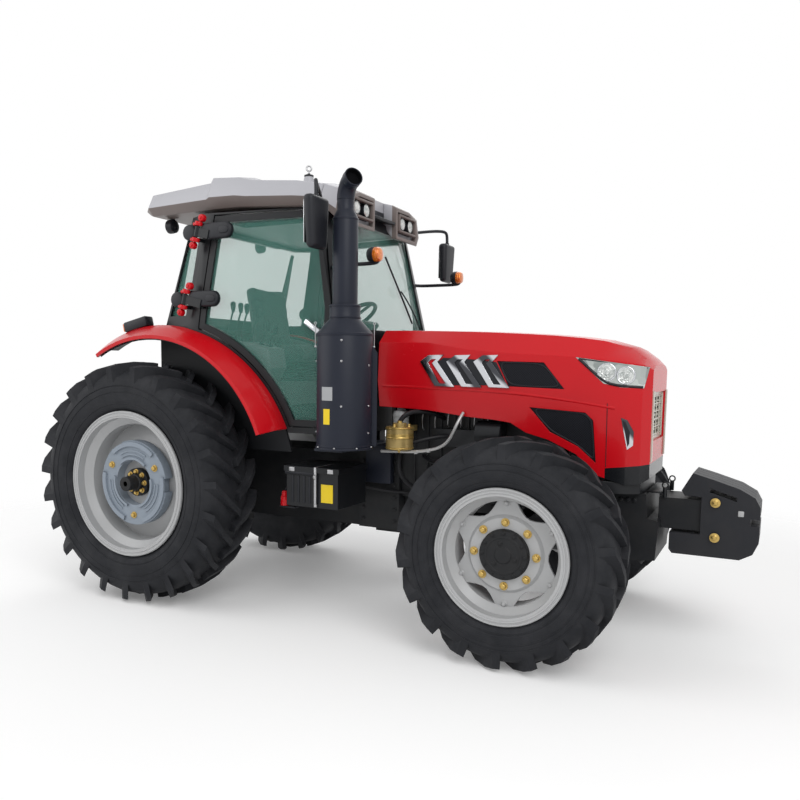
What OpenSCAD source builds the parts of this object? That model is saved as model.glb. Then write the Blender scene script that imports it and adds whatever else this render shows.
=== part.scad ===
// Farm tractor: closed cab, four-wheel drive, front weights and a three-point linkage.
// X points forward, Y to the left and Z up, in millimetres, with the ground at zero.
// Stations along X are measured from the rear axle; centred() moves the whole to its middle.

/* [Stance] */
// Distance between the two axles
wheelbase = 2760; // [2700:10:2820]
// Distance between the middles of the rear tyres
rear_track = 1850; // [1830:5:1890]
// Distance between the middles of the front tyres
front_track = 1830; // [1800:5:1860]

/* [Rear wheels] */
// Radius over the lugs
rear_tyre_r = 865; // [845:5:880]
// Width of the tyre
rear_tyre_w = 467; // [440:1:480]
// Height of the lugs
rear_lug_h = 44; // [36:1:50]
// Lugs on each half of the tread
rear_lugs = 23; // [20:1:26]
// Radius where the bead sits
rear_bead_r = 483; // [470:1:495]
// Width between the rim's flanges
rear_rim_w = 412; // [396:1:420]
// Radius of the cast wheel weight
rear_weight_r = 305; // [285:5:320]

/* [Front wheels] */
// Radius over the lugs
front_tyre_r = 664; // [650:2:676]
// Width of the tyre
front_tyre_w = 378; // [360:1:386]
// Height of the lugs
front_lug_h = 38; // [30:1:42]
// Lugs on each half of the tread
front_lugs = 18; // [16:1:21]
// Radius where the bead sits
front_bead_r = 356; // [346:1:364]
// Width between the rim's flanges
front_rim_w = 344; // [330:1:350]
// Distance of the kingpins from the middle
kingpin_y = 690; // [670:5:700]

/* [Hood] */
// Gap between the cab and the hood
hood_gap = 52; // [47:1:70]
// Station of the hood's nose
hood_nose_x = 3420; // [3400:5:3440]
// Widest half width of the hood
hood_half_w = 415; // [400:1:425]
// Height of the hood's top above the ground at its rear
hood_top_z = 1962; // [1940:2:1980]
// Thickness of the hood's wall
hood_wall = 22; // [16:1:28]

/* [Cab] */
// Station of the cab's rear at the belt
cab_rear_x = 28; // [10:2:40]
// Length of the cab at the belt
cab_len = 1560; // [1540:2:1570]
// Half width at the rear door posts
cab_half_w = 808; // [800:1:815]
// Height of the door sill's underside
cab_sill_z = 1255; // [1245:1:1265]
// Height of the belt, where the glass starts to lean in
cab_belt_z = 1990; // [1980:2:2010]
// Height of the cab's top rail
cab_top_z = 2765; // [2740:5:2790]
// Thickness of the doors and walls
cab_wall = 46; // [40:1:52]
// Thickness of the glass
glass_t = 6; // [5:0.5:8]
// Height of the roof above the top rail
roof_h = 270; // [250:5:290]

/* [Fenders] */
// Room over the rear tyre, up to the fender's top
fender_room = 247; // [241:1:251]
// Distance of the fender's outer lip from the middle
fender_lip_y = 945; // [930:5:960]

/* [Front weights] */
// Length of the weights
weights_len = 495; // [480:5:510]
// Height of the weights
weights_h = 500; // [480:5:510]
// Thickness of one weight
weight_slab = 84; // [78:1:88]
// Weights on the carrier
weight_count = 4; // [3:1:5]

/* [Linkage] */
// Length of the lower links from pin to ball
link_len = 930; // [900:5:960]
// Radius of the hole in the link balls
link_ball_bore_r = 14.3; // [13:0.1:18.5]
// Radius of the drawbar's pin hole
drawbar_bore_r = 16; // [13:0.5:20]

/* [Hidden] */
$fn = 64;

// Small sizes that serve everywhere
overrun = 20;
seat_gap = 0.3;
run_gap = 5;

// Stations that follow the cab, the axles and the hood
cab_front_x = cab_rear_x + cab_len;
hood_rear_x = cab_front_x + hood_gap;
hood_len = hood_nose_x - hood_rear_x;

// Wheel sizes
rear_axle_z = rear_tyre_r;
front_axle_z = front_tyre_r;
rear_wheel_y = rear_track / 2;
front_wheel_y = front_track / 2;
rim_flange = 36;
rim_lip_t = 14;
rim_seat_w = 62;
rim_slope_w = 44;
rear_well = 48;
front_well = 40;
rim_t = 12;
tyre_wall = 30;
tyre_square = 2.9;
tyre_rows = 14;
tyre_start = -48;
tyre_wide_share = 0.5;
lug_sink = 14;
lug_top_share = 0.2;
lug_base_share = 0.27;
// Across the tyre, drop below the tip as a share of the lug, and place along the tread in pitches
lug_stations_shares = [[-0.05, 0.02, 0], [0.42, 0, 0.34], [0.8, 0.3, 0.72], [0.965, 0.75, 0.95]];

// Rear hub and wheel weight
rear_shaft_r = 50;
rear_shaft_in_y = 640;
rear_shaft_out_y = 1128;
rear_flange_r = 128;
rear_flange_y = 930;
rear_flange_t = 32;
rear_disc_t = 16;
rear_disc_flat_r = 250;
rear_disc_dish = 70;
rear_hub_r = 98;
rear_hub_t = 40;
rear_weight_bore_r = 162;
rear_weight_t = 70;
rear_weight_notch_w = 96;
rear_weight_notch_d = 34;
rear_weight_lobes = 3;

// Front hub and knuckle
kingpin_r = 32;
kingpin_boss_r = 76;
kingpin_boss_h = 190;
yoke_t = 42;
yoke_r = 78;
yoke_web_y = 98;
yoke_web_t = 40;
spindle_r = 60;
spindle_len = 250;
carrier_r = 132;
carrier_t = 40;
front_hub_r = 150;
front_hub_out = 72;
front_cap_r = 140;
front_cap_t = 34;
front_disc_out = 40;
front_disc_t = 16;
front_disc_ring_r = 228;
front_disc_ring_t = 20;
front_disc_scallop_r = 150;
front_disc_scallop_share = 1.13;
front_disc_lobes = 6;
front_bracket_w = 70;
front_bracket_t = 18;
front_bracket_len = 60;
front_bolts = 8;
front_bolt_circle_r = 184;
front_bolt_r = 11;
front_bolt_h = 18;
steer_arm_len = 215;
steer_arm_w = 60;
steer_arm_t = 30;
tie_pin_r = 16;
tie_rod_r = 21;
tie_eye_r = 38;
tie_eye_t = 44;

// Front axle and support
axle_tube_r = 88;
axle_root_r = 126;
axle_diff_r = 168;
axle_diff_half = 150;
axle_trunnion_r = 62;
axle_trunnion_len = 285;
support_rail_t = 46;
support_rear_x = 2300;
support_len = 1185;
support_top_z = 962;
support_rail_h = 150;
support_block_len = 282;
support_block_h = 415;
support_block_shares = [[0, 1], [0.72, 1], [0.76, 0.64], [1, 0.61], [0.955, 0.03], [0.44, 0], [0, 0.5]];
hanger_t = 62;
hanger_half_w = 110;
hook_h = 190;
hook_half_w = 150;
hook_z = 745;
weight_gap = 5;
weights_gap = 51;
weights_rear_x = support_rear_x + support_len + weights_gap;
weights_z = 598;
weight_throat_share = 0.35;
weights_shares = [
    [0.12, 0.78], [0.24, 1], [0.46, 0.94], [0.77, 0.845], [0.94, 0.75], [1, 0.64], [1, 0.5],
    [0.9, 0.5], [0.9, 0.42], [1, 0.42], [1, 0.22], [0.94, 0.08], [0.8, 0],
    [0.04, 0], [0, 0.05], [0, 0.26], [weight_throat_share, 0.26], [weight_throat_share, 0.72], [0.16, 0.72]
];
weight_slot_shares = [[0.44, 0.83], [0.74, 0.74], [0.74, 0.69], [0.44, 0.78]];
weight_bolt_r = 14;
weight_bolt_head_r = 26;
weight_bolt_head_t = 14;
weight_bolt_shares = [[0.51, 0.665], [0.52, 0.245]];

// Engine, radiator and transmission
engine_rear_x = 1740;
engine_len = 690;
engine_upper_z = 1000;
engine_half_w = 215;
engine_z = 800;
engine_h = 720;
pan_half_w = 165;
pan_z = 725;
head_half_w = 150;
head_h = 170;
engine_ribs = 6;
engine_rib_t = 16;
engine_rib_out = 14;
pulley_r = 120;
pulley_t = 36;
fan_r = 240;
fan_t = 46;
fan_gap = 60;
fan_hub_r = 60;
fan_z = 1290;
radiator_in = 330;
radiator_x = hood_nose_x - radiator_in;
radiator_gap = 34;
radiator_t = 110;
radiator_half_w = 330;
radiator_h = 690;
radiator_duct_len = 90;
radiator_duct_half_w = 270;
radiator_foot_t = 20;
engine_upper_len = radiator_x - radiator_duct_len - radiator_gap - fan_t - fan_gap - engine_rear_x;
case_rear_x = -310;
case_len = 2050;
case_half_w = 225;
case_z = 560;
case_h = 540;
bell_half_w = 262;
bell_len = 320;
bell_rib_t = 34;
rear_case_half_w = 290;
rear_case_len = 640;
rear_case_z = 520;
rear_case_h = 690;
trumpet_root_r = 165;
trumpet_r = 112;
trumpet_end_y = 900;
trumpet_collar_r = 138;
trumpet_collar_w = 46;
drive_shaft_r = 34;
drive_shaft_z = 664;
drive_box_half_w = 110;
drive_box_len = 260;
drive_box_h = 210;

// Engine fittings
filter_x = 1838;
filter_y = 470;
filter_z = 1165;
filter_r = 92;
filter_h = 150;
filter_cap_r = 46;
filter_cap_h = 26;
filter_arm_h = 40;
alternator_r = 78;
alternator_len = 170;
alternator_x = 2420;
alternator_z = 1290;
oil_filter_r = 54;
oil_filter_h = 170;
oil_filter_x = 2020;
oil_filter_z = 880;
pump_len = 420;
pump_h = 120;
pump_out = 70;
pump_x = 2000;
pump_z = 1180;

// Exhaust
stack_out = 10;
stack_x = hood_rear_x + stack_out;
stack_y = 890;
can_r = 176;
can_z = 1195;
can_h = 725;
can_foot_r = 184;
can_foot_t = 14;
can_cone_h = 85;
collar_r = 97;
collar_h = 90;
pipe_r = 79;
pipe_h = 560;
neck_cone_h = 42;
neck_r = 53;
neck_h = 90;
bend_step = 2;
bend_radius = 130;
bend_angle = 42;
bend_turn = -20;
mouth_len = 90;
mouth_depth = 60;
mouth_wall = 6;
shelf_t = 16;
shelf_rear_len = 150;
shelf_front_len = 50;
shelf_out = 120;
bracket_t = 60;
bracket_h = 300;

// Boxes under the cab
battery_x = 1165;
battery_len = 400;
battery_y = 440;
battery_w = 380;
battery_z = 775;
battery_h = 235;
battery_lid_h = 36;
battery_lid_out = 14;
battery_arm_z = 900;
battery_arm_h = 60;
battery_arm_len = 230;
tank_x = 890;
tank_len = 560;
tank_y = 440;
tank_w = 340;
tank_z = 640;
tank_h = 480;
tank_corner_r = 70;
tank_cap_r = 55;
tank_cap_h = 40;
step_x = 1185;
step_len = 330;
step_y = 800;
step_w = 200;
step_t = 26;
step_count = 3;
step_z = 520;
step_rise = 290;
step_post_t = 26;
step_arm_h = 70;
step_arm_z = 860;
step_lip = 40;

// Cab shell
cab_rear_half_w_share = 0.89;
cab_front_half_w_share = 0.885;
cab_post_share = 0.2;
cab_screen_share = 0.92;
cab_top_rear_in = 232;
cab_top_front_in = 195;
cab_top_side_in = 46;
cab_foot_in = 26;
screen_steps = 4;
fender_r = rear_tyre_r + fender_room;
fender_axis_x = 60;
fender_axis_up = 20;
fender_axis_z = rear_axle_z + fender_axis_up;
door_gap = 9;
door_arc_gap = 28;
door_shares = [[0.32, 0.985], [0.835, 0.985], [0.905, 0.56], [0.895, 0.032], [0.2, 0.032], [0.255, 0.56]];
door_rim = 44;
door_rim_r = 46;
quarter_shares = [[0.135, 0.955], [0.232, 0.955], [0.155, 0.535], [0.03, 0.535]];
rear_glass_half_share = 0.78;
rear_glass_z_shares = [0.545, 0.95];
screen_half_share = 0.94;
screen_z_shares = [0.47, 0.955];
glass_depth = 16;
hinge_top_shares = [0.2686, 0.9093];
hinge_low_shares = [0.1923, 0.6066];
hinge_out = 44;
hinge_r = 20;
hinge_pin_r = 9;
hinge_h = 70;
hinge_gap = 6;
hinge_ear_t = 24;
hinge_leaf_t = 20;
hinge_leaf_h = 60;
hinge_leaf_lens = [150, 104];
hinge_pad_len = 40;
hinge_sink = 14;
handle_len = 190;
handle_t = 24;
handle_h = 30;
handle_in = 163;
handle_z = 1900;
handle_tilt = 35;
handle_sink = 9;
handle_out = 40;
handle_foot = 46;

// Cab inside
tub_half_w = 680;
tub_t = 16;
tub_floor_t = 34;
tub_deck_z = 1560;
tub_deck_in = 140;
tub_rear_out = 88;
tub_arch_r = 1075;
tub_side_z = 1120;
tub_leg_in = 288;
tub_rear_leg_in = 132;
tub_leg_y = 110;
tub_leg_w = 90;
seat_in = 652;
seat_w = 500;
seat_cushion_len = 480;
seat_cushion_h = 120;
seat_base_h = 150;
seat_base_w = 280;
seat_back_h = 560;
seat_back_t = 120;
seat_back_lean = 10;
seat_round = 40;
console_in = 298;
console_len = 190;
console_half_w = 210;
console_z = 1900;
console_shares = [[0, 0], [1, 0], [1, 0.9], [0.62, 1], [0, 0.86]];
column_r = 30;
column_len = 330;
column_tilt = 34;
wheel_ring_r = 200;
wheel_grip_r = 15;
wheel_hub_r = 50;
wheel_hub_t = 30;
wheel_spoke_w = 34;
wheel_spoke_t = 12;
wheel_spokes = 3;

// Roof
roof_rear_out = 178;
roof_front_out = 62;
roof_side_in = 8;
roof_top_shares = [
    [0, 0.28, 0.42, 0.55], [0.06, 0.14, 0.66, 0.86], [0.34, 0.1, 0.72, 0.93], [0.39, 0.1, 0.92, 1],
    [0.49, 0.1, 0.93, 1], [0.55, 0.08, 0.72, 0.86], [0.75, 0, 0.56, 0.7], [0.9, -0.1, 0.5, 0.62],
    [0.97, -0.2, 0.3, 0.46], [1, -0.26, 0.16, 0.24]
];
roof_width_shares = [0.74, 0.9, 0.985, 1, 1, 1, 0.99, 0.955, 0.84, 0.76];
roof_shoulder_share = 0.93;
roof_crown_share = 0.7;
roof_notch_half_w = 330;
roof_notch_len = 210;
roof_hollow_in = 302;
roof_hollow_front_in = 358;
roof_hollow_half_w = 520;
roof_hollow_h = 100;
recess_depth = 50;
recess_y = 360;
recess_w = 230;
recess_z = 2712;
recess_h = 84;

// Mirrors and lamps
mirror_in = 61;
mirror_out = 227;
mirror_z = 2440;
mirror_h = 300;
mirror_w = 215;
mirror_t = 75;
mirror_round = 30;
mirror_arm_r = 13;
mirror_arm_up = 62;
mirror_arm_in_y = 640;
lamp_r = 36;
lamp_t = 44;
recess_lamps = 2;
beacon_base_r = 62;
beacon_r = 30;
beacon_h = 20;
beacon_in = 458;
beacon_y = 430;
signal_r = 46;
signal_t = 70;
signal_front_out = 172;
signal_y = 700;
signal_z = 2420;
signal_arm_r = 14;
signal_post_r = 11;
signal_foot_r = 17;
signal_foot_in = 168;
signal_foot_y = 600;
tail_len = 230;
tail_w = 90;
tail_h = 80;
tail_lean = 13;
tail_y = 720;

// Fenders
fender_t = 18;
fender_in_y = 716;
fender_flat_y = 812;
fender_lip_drop = 76;
fender_lip_h = 26;
fender_from = 21;
fender_to = 120;

// Hood sections: station, lower edge, lower crease, shoulder and top edge as shares
hood_z0 = 1000;
hood_shares = [
    [0, 0.46, 0.64, 0.912, 1], [0.075, 0.455, 0.637, 0.912, 0.998], [0.203, 0.445, 0.634, 0.91, 0.993],
    [0.362, 0.41, 0.628, 0.862, 0.985], [0.465, 0.397, 0.622, 0.845, 0.977], [0.527, 0.382, 0.617,
        0.838, 0.971],
    [0.584, 0.322, 0.61, 0.832, 0.965], [0.666, 0.282, 0.594, 0.826, 0.955], [0.763, 0.2, 0.568, 0.815,
        0.938],
    [0.84, 0.07, 0.545, 0.805, 0.918], [0.928, 0.02, 0.5, 0.785, 0.872], [0.974, 0.03, 0.46, 0.77, 0.81],
    [1, 0.06, 0.42, 0.74, 0.765]
];
hood_width_shares = [1, 1, 1, 1, 1, 1, 1, 1, 1, 0.985, 0.955, 0.9, 0.74];
hood_low_share = 0.93;
hood_shoulder_share = 0.965;
hood_top_share = 0.72;
hood_crown = 14;
hood_cut_in_y = 240;
lamp_shares = [[0.752, 0.815], [0.99, 0.757], [0.977, 0.627], [0.907, 0.63], [0.849, 0.652]];
mesh_shares = [[0.597, 0.49], [0.793, 0.468], [0.82, 0.42], [0.832, 0.15], [0.77, 0.25], [0.671, 0.335]];
louvre_shares = [[0.474, 0.787], [0.644, 0.78], [0.72, 0.612], [0.521, 0.622]];
fang_shares = [[0.91, 0.443], [0.931, 0.43], [0.952, 0.359], [0.951, 0.273], [0.932, 0.244]];
grille_half_w = 250;
grille_z_shares = [0.29, 0.6];
grille_bars = 9;
grille_bar_t = 12;
grille_frame_t = 26;
grille_depth = 40;
panel_t = 10;
panel_sink = 6;
chevron_x_share = 0.177;
chevron_pitch_share = 0.105;
chevron_shares = [[0, 0.781], [0.034, 0.824], [0.093, 0.827], [0.07, 0.778], [0.14, 0.611], [0.063, 0.615]];
chevron_slot_shares = [[0.032, 0.774], [0.046, 0.797], [0.064, 0.797], [0.049, 0.77], [0.107, 0.632],
    [0.08, 0.634]];
chevron_count = 3;
chevron_out = 12;
hood_hinge_in = 25;
hood_hinge_drop = 58;
hood_pin_r = 12;
hood_lug_r = 24;
hood_lug_t = 30;
hood_lug_y = 230;
bulkhead_in = 65;
bulkhead_t = 26;
bulkhead_half_w = 320;
bulkhead_drop = 70;
bulkhead_ear_w = 90;

// Linkage
link_pin_x = 60;
link_pin_z = 575;
link_y = 330;
link_drop = 110;
link_t = 34;
link_h = 74;
link_eye_r = 46;
link_ball_r = 52;
link_ball_t = 46;
link_pin_r = 20;
link_boss_r = 50;
arm_shaft_x = -200;
arm_shaft_z = 1290;
arm_shaft_r = 42;
arm_y = 412;
arm_t = 40;
arm_h = 72;
arm_eye_r = 46;
rod_share = 0.42;
rod_y = 372;
rod_t = 32;
rod_r = 19;
rod_eye_r = 36;
rod_pin_r = 14;
lift_cover_rear_x = -305;
lift_cover_len = 400;
lift_cover_half_w = 200;
lift_cover_h = 150;
top_link_z = 1010;
top_link_bore_r = 12.9;
top_ear_t = 22;
top_ear_gap = 52;
top_ear_r = 44;
top_ear_out = 76;
pto_r = 17.5;
pto_len = 85;
pto_z = 700;
pto_guard_half_w = 120;
pto_guard_len = 110;
pto_guard_t = 10;
pto_guard_h = 100;
drawbar_len = 620;
drawbar_w = 90;
drawbar_t = 40;
drawbar_z = 430;
drawbar_eye_r = 50;
drawbar_front_x = 200;
drawbar_hanger_t = 40;
drawbar_hanger_half_w = 120;

// Derived places
cab_h = cab_top_z - cab_sill_z;
hinge_top_x = cab_rear_x + hinge_top_shares[0] * cab_len;
hinge_top_z = cab_sill_z + hinge_top_shares[1] * cab_h;
hinge_low_x = cab_rear_x + hinge_low_shares[0] * cab_len;
hinge_low_z = cab_sill_z + hinge_low_shares[1] * cab_h;
hinge_y = cab_half_w + hinge_out;
seat_x = cab_rear_x + seat_in;
tub_deck_front_x = seat_x + tub_deck_in;
tub_rear_x = cab_rear_x - tub_rear_out;
tub_leg_x = cab_front_x - tub_leg_in;
tub_rear_leg_x = cab_rear_x + tub_rear_leg_in;
console_x = cab_front_x - console_in;
roof_rear_x = cab_rear_x - roof_rear_out;
roof_len = cab_len + roof_rear_out + roof_front_out;
roof_half_w = cab_half_w - roof_side_in;
roof_hollow_x = cab_rear_x + roof_hollow_in;
roof_hollow_len = cab_len - roof_hollow_in - roof_hollow_front_in;
mirror_x = cab_front_x - mirror_in;
mirror_y = cab_half_w + mirror_out;
signal_x = cab_front_x + signal_front_out;
signal_foot_x = cab_front_x - signal_foot_in;
beacon_x = cab_front_x - beacon_in;
bulkhead_x = hood_rear_x + bulkhead_in;
handle_x = cab_front_x - handle_in;
weights_front_x = weights_rear_x + weights_len;
link_rear_x = link_pin_x - sqrt(link_len * link_len - link_drop * link_drop) - link_ball_r;
middle_x = (weights_front_x + link_rear_x) / 2;
hood_span_z = hood_top_z - hood_z0;
support_half_w = engine_half_w + engine_rib_out + seat_gap + support_rail_t;
hinge_tilt = atan((hinge_top_x - hinge_low_x) / (hinge_top_z - hinge_low_z));

// Shared shapes

module centred() {
    translate([-middle_x, 0, 0]) children();
}

module both_sides() {
    children();
    mirror([0, 1, 0]) children();
}

// A plate drawn in X and Z that runs from y0 to y1
module side_plate(points, y0, y1) {
    translate([0, y1, 0]) rotate([90, 0, 0]) linear_extrude(y1 - y0) polygon(points);
}

// A plate drawn in Y and Z that runs from x0 to x1
module cross_plate(points, x0, x1) {
    translate([x0, 0, 0]) rotate([90, 0, 90]) linear_extrude(x1 - x0) polygon(points);
}

module bar_y(r, y0, y1) {
    translate([0, y0, 0]) rotate([-90, 0, 0]) cylinder(r = r, h = y1 - y0);
}

module bar_x(r, x0, x1) {
    translate([x0, 0, 0]) rotate([0, 90, 0]) cylinder(r = r, h = x1 - x0);
}

module box(from, to) {
    translate(from) cube(to - from);
}

// A section of radius and offset, turned about the Y axis
module turned_y(points) {
    rotate([-90, 0, 0]) rotate_extrude() polygon(points);
}

module rounded_rectangle(w, h, r) {
    translate([r, 0]) square([w - 2 * r, h]);
    translate([0, r]) square([w, h - 2 * r]);
    for (x = [r, w - r], y = [r, h - r]) translate([x, y]) circle(r = r);
}

function placed(shares, corner, size) =
    [for (s = shares) [corner[0] + s[0] * size[0], corner[1] + s[1] * size[1]]];

function rectangle(x0, y0, x1, y1) = [[x0, y0], [x1, y0], [x1, y1], [x0, y1]];

function power(v, p) = sign(v) * pow(abs(v), p);

function turned_area(p) =
    let (n = len(p)) [for (i = [0:n - 1]) p[i][0] * p[(i + 1) % n][1] - p[(i + 1) % n][0] * p[i][1]];

function total(v, i = 0) = i < len(v) ? v[i] + total(v, i + 1) : 0;

// The same outline with each edge moved out by d, or in where d is negative
function grown(p, d) =
    let (n = len(p), turn = total(turned_area(p)) > 0 ? 1 : -1)
    [for (i = [0:n - 1])
        let (
            a = p[(i + n - 1) % n], b = p[i], c = p[(i + 1) % n],
            u = (b - a) / norm(b - a), v = (c - b) / norm(c - b),
            nu = turn * [u[1], -u[0]], nv = turn * [v[1], -v[0]]
        )
        b + d * (nu + nv) / (1 + nu * nv)];

// A solid through closed loops of points that all have the same count
module skin(loops) {
    n = len(loops[0]);
    m = len(loops);
    points = [for (loop = loops) each loop];
    sides = [for (i = [0:m - 2], j = [0:n - 1]) each
        let (a = i * n + j, b = i * n + (j + 1) % n, c = a + n, d = b + n) [[a, c, b], [b, c, d]]];
    caps = [[for (j = [0:n - 1]) j], [for (j = [n - 1:-1:0]) (m - 1) * n + j]];
    polyhedron(points, concat(sides, caps));
}

// Tyres

function tyre_arc(half_w, mid_r, high, low) =
    [for (i = [0:tyre_rows])
        let (a = tyre_start + (180 - 2 * tyre_start) * i / tyre_rows, s = power(sin(a), 2 / tyre_square))
        [mid_r + (s > 0 ? high : low) * s, half_w * power(cos(a), 2 / tyre_square)]];

// Radius of the carcass at a share of its half width
function carcass_r(share, mid_r, crown_r) =
    mid_r + (crown_r - mid_r) * pow(1 - pow(abs(share), tyre_square), 1 / tyre_square);

module tyre(r, w, lug_h, bead_r, rim_w, lugs) {
    crown_r = r - lug_h;
    mid_r = bead_r + tyre_wide_share * (crown_r - bead_r);
    bead_half = rim_w / 2 - rim_lip_t - seat_gap;
    low = mid_r - bead_r - seat_gap;
    outer = tyre_arc(w / 2, mid_r, crown_r - mid_r, low);
    inner = tyre_arc(w / 2 - tyre_wall, mid_r, crown_r - mid_r - tyre_wall, low);
    heel_r = bead_r + seat_gap;
    turned_y(concat(
        [[heel_r, bead_half]], outer, [[heel_r, -bead_half]], [[heel_r, tyre_wall - bead_half]],
        [for (i = [tyre_rows:-1:0]) inner[i]], [[heel_r, bead_half - tyre_wall]]
    ));
    for (side = [0, 1]) mirror([0, side, 0])
        for (i = [0:lugs - 1]) rotate([0, 360 * (i + side / 2) / lugs, 0]) lug(r, w, lug_h, mid_r, lugs);
}

// One bar of the tread, from the middle of the tyre out over its shoulder
module lug(r, w, lug_h, mid_r, lugs) {
    skin([for (k = [0:len(lug_stations_shares) - 1])
        let (
            station = lug_stations_shares[k],
            y = station[0] * w / 2,
            top_r = r - station[1] * lug_h,
            base_r = carcass_r(station[0], mid_r, r - lug_h) - lug_sink,
            top_half = lug_top_share * 180 / lugs,
            middle = 270 - top_half + (station[2] - lug_stations_shares[1][2]) * 360 / lugs,
            base_half = lug_base_share * 180 / lugs
        )
        [
            [base_r * cos(middle + base_half), y, base_r * sin(middle + base_half)],
            [top_r * cos(middle + top_half), y, top_r * sin(middle + top_half)],
            [top_r * cos(middle - top_half), y, top_r * sin(middle - top_half)],
            [base_r * cos(middle - base_half), y, base_r * sin(middle - base_half)]
        ]]);
}

// Rims

function rim_half(bead_r, half_w, well) = [
    [bead_r + rim_flange, half_w], [bead_r + rim_flange, half_w - rim_lip_t],
    [bead_r, half_w - rim_lip_t], [bead_r, half_w - rim_seat_w],
    [bead_r - well, half_w - rim_seat_w - rim_slope_w]
];

module rim(bead_r, w, well) {
    near = rim_half(bead_r, w / 2, well);
    last = len(near) - 1;
    far = [for (i = [last:-1:0]) [near[i][0], -near[i][1]]];
    under_near = [
        [bead_r - well - rim_t, w / 2 - rim_seat_w - rim_slope_w],
        [bead_r - rim_t, w / 2 - rim_seat_w], [bead_r - rim_t, w / 2]
    ];
    under_far = [for (i = [2:-1:0]) [under_near[i][0], -under_near[i][1]]];
    turned_y(concat(near, far, under_far, under_near));
}

module ring_of(count, r, start = 0) {
    for (i = [0:count - 1]) rotate([0, start + 360 * i / count, 0]) translate([r, 0, 0]) children();
}

// Rear wheel, drawn for the right side with its outer face towards -Y

module rear_wheel() {
    disc_y = -(rear_flange_y + rear_flange_t - rear_wheel_y);
    inner_r = rear_bead_r - rear_well - rim_t;
    color("silver") {
        rim(rear_bead_r, rear_rim_w, rear_well);
        turned_y([
            [rear_shaft_r, disc_y], [rear_disc_flat_r, disc_y], [inner_r, disc_y + rear_disc_dish],
            [inner_r + rim_t / 2, disc_y + rear_disc_dish], [inner_r + rim_t / 2,
                disc_y + rear_disc_dish - rear_disc_t],
            [inner_r, disc_y + rear_disc_dish - rear_disc_t], [rear_disc_flat_r, disc_y - rear_disc_t],
            [rear_shaft_r, disc_y - rear_disc_t]
        ]);
    }
    color("dimgray") {
        bar_y(rear_shaft_r, rear_wheel_y - rear_shaft_out_y, rear_wheel_y - rear_shaft_in_y);
        bar_y(rear_flange_r, disc_y, disc_y + rear_flange_t);
        bar_y(rear_hub_r, disc_y - rear_disc_t - rear_hub_t, disc_y);
    }
}

module rear_weight() {
    face_y = -(rear_flange_y + rear_flange_t + rear_disc_t - rear_wheel_y);
    color("slategray") difference() {
        bar_y(rear_weight_r, face_y - rear_weight_t, face_y);
        bar_y(rear_weight_bore_r, face_y - rear_weight_t - overrun, face_y + overrun);
        ring_of(rear_weight_lobes, rear_weight_r)
            box([-rear_weight_notch_d, face_y - rear_weight_t - overrun, -rear_weight_notch_w / 2],
                [rear_weight_notch_d, face_y + overrun, rear_weight_notch_w / 2]);
    }
}

// Front wheel, drawn for the right side with its outer face towards -Y

module front_disc_outline() {
    outer_r = front_bead_r - front_well - rim_t - front_bracket_len / 2;
    difference() {
        circle(r = outer_r);
        for (i = [0:front_disc_lobes - 1])
            rotate(360 * i / front_disc_lobes)
                translate([outer_r * front_disc_scallop_share, 0]) circle(r = front_disc_scallop_r);
        circle(r = front_cap_r);
    }
}

module front_wheel() {
    inner_r = front_bead_r - front_well - rim_t;
    disc_y = -front_disc_out;
    hub_in_y = front_wheel_y - kingpin_y - yoke_web_y - yoke_web_t - carrier_t - run_gap;
    color("silver") {
        rim(front_bead_r, front_rim_w, front_well);
        translate([0, disc_y, 0]) rotate([90, 0, 0]) linear_extrude(front_disc_t) front_disc_outline();
        turned_y([
            [front_cap_r, disc_y], [front_disc_ring_r, disc_y], [front_disc_ring_r, disc_y - front_disc_t],
            [front_disc_ring_r - front_disc_ring_t, disc_y - front_disc_t - front_disc_ring_t],
            [front_cap_r, disc_y - front_disc_t - front_disc_ring_t]
        ]);
        ring_of(front_disc_lobes, inner_r, 180 / front_disc_lobes)
            box([-front_bracket_len, disc_y, -front_bracket_w / 2],
                [rim_t / 2, disc_y + front_bracket_t, front_bracket_w / 2]);
    }
    color("goldenrod") ring_of(front_bolts, front_bolt_circle_r)
        bar_y(front_bolt_r, disc_y - front_disc_t - front_disc_ring_t - front_bolt_h, disc_y);
    color("black") difference() {
        union() {
            bar_y(front_hub_r, -front_hub_out, hub_in_y);
            bar_y(front_cap_r, -front_hub_out - front_cap_t, 0);
        }
        bar_y(spindle_r + seat_gap, front_wheel_y - kingpin_y - spindle_len - run_gap, hub_in_y + overrun);
    }
}

// Knuckle, drawn about the right kingpin at the axle's height

module knuckle() {
    half_h = kingpin_boss_h / 2 + run_gap;
    color("black") {
        for (s = [-1, 1]) translate([0, 0, s * (half_h + yoke_t / 2)]) {
            cylinder(r = yoke_r, h = yoke_t, center = true);
            box([-yoke_r, -yoke_web_y - yoke_web_t, -yoke_t / 2], [yoke_r, 0, yoke_t / 2]);
        }
        box([-yoke_r, -yoke_web_y - yoke_web_t, -half_h - yoke_t], [yoke_r, -yoke_web_y, half_h + yoke_t]);
        translate([0, 0, -half_h - yoke_t]) cylinder(r = kingpin_r, h = 2 * (half_h + yoke_t));
        bar_y(carrier_r, -yoke_web_y - yoke_web_t - carrier_t, -yoke_web_y - yoke_web_t / 2);
        bar_y(spindle_r, -spindle_len, -yoke_web_y - yoke_web_t / 2);
        difference() {
            union() {
                box([-steer_arm_len, -steer_arm_w / 2, -half_h - yoke_t], [0, steer_arm_w / 2,
                    -half_h - yoke_t + steer_arm_t]);
                translate([-steer_arm_len, 0, -half_h - yoke_t]) cylinder(r = tie_eye_r, h = steer_arm_t);
            }
            translate([-steer_arm_len, 0, -half_h - yoke_t - overrun])
                cylinder(r = tie_pin_r + seat_gap, h = steer_arm_t + 2 * overrun);
        }
    }
}

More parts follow.
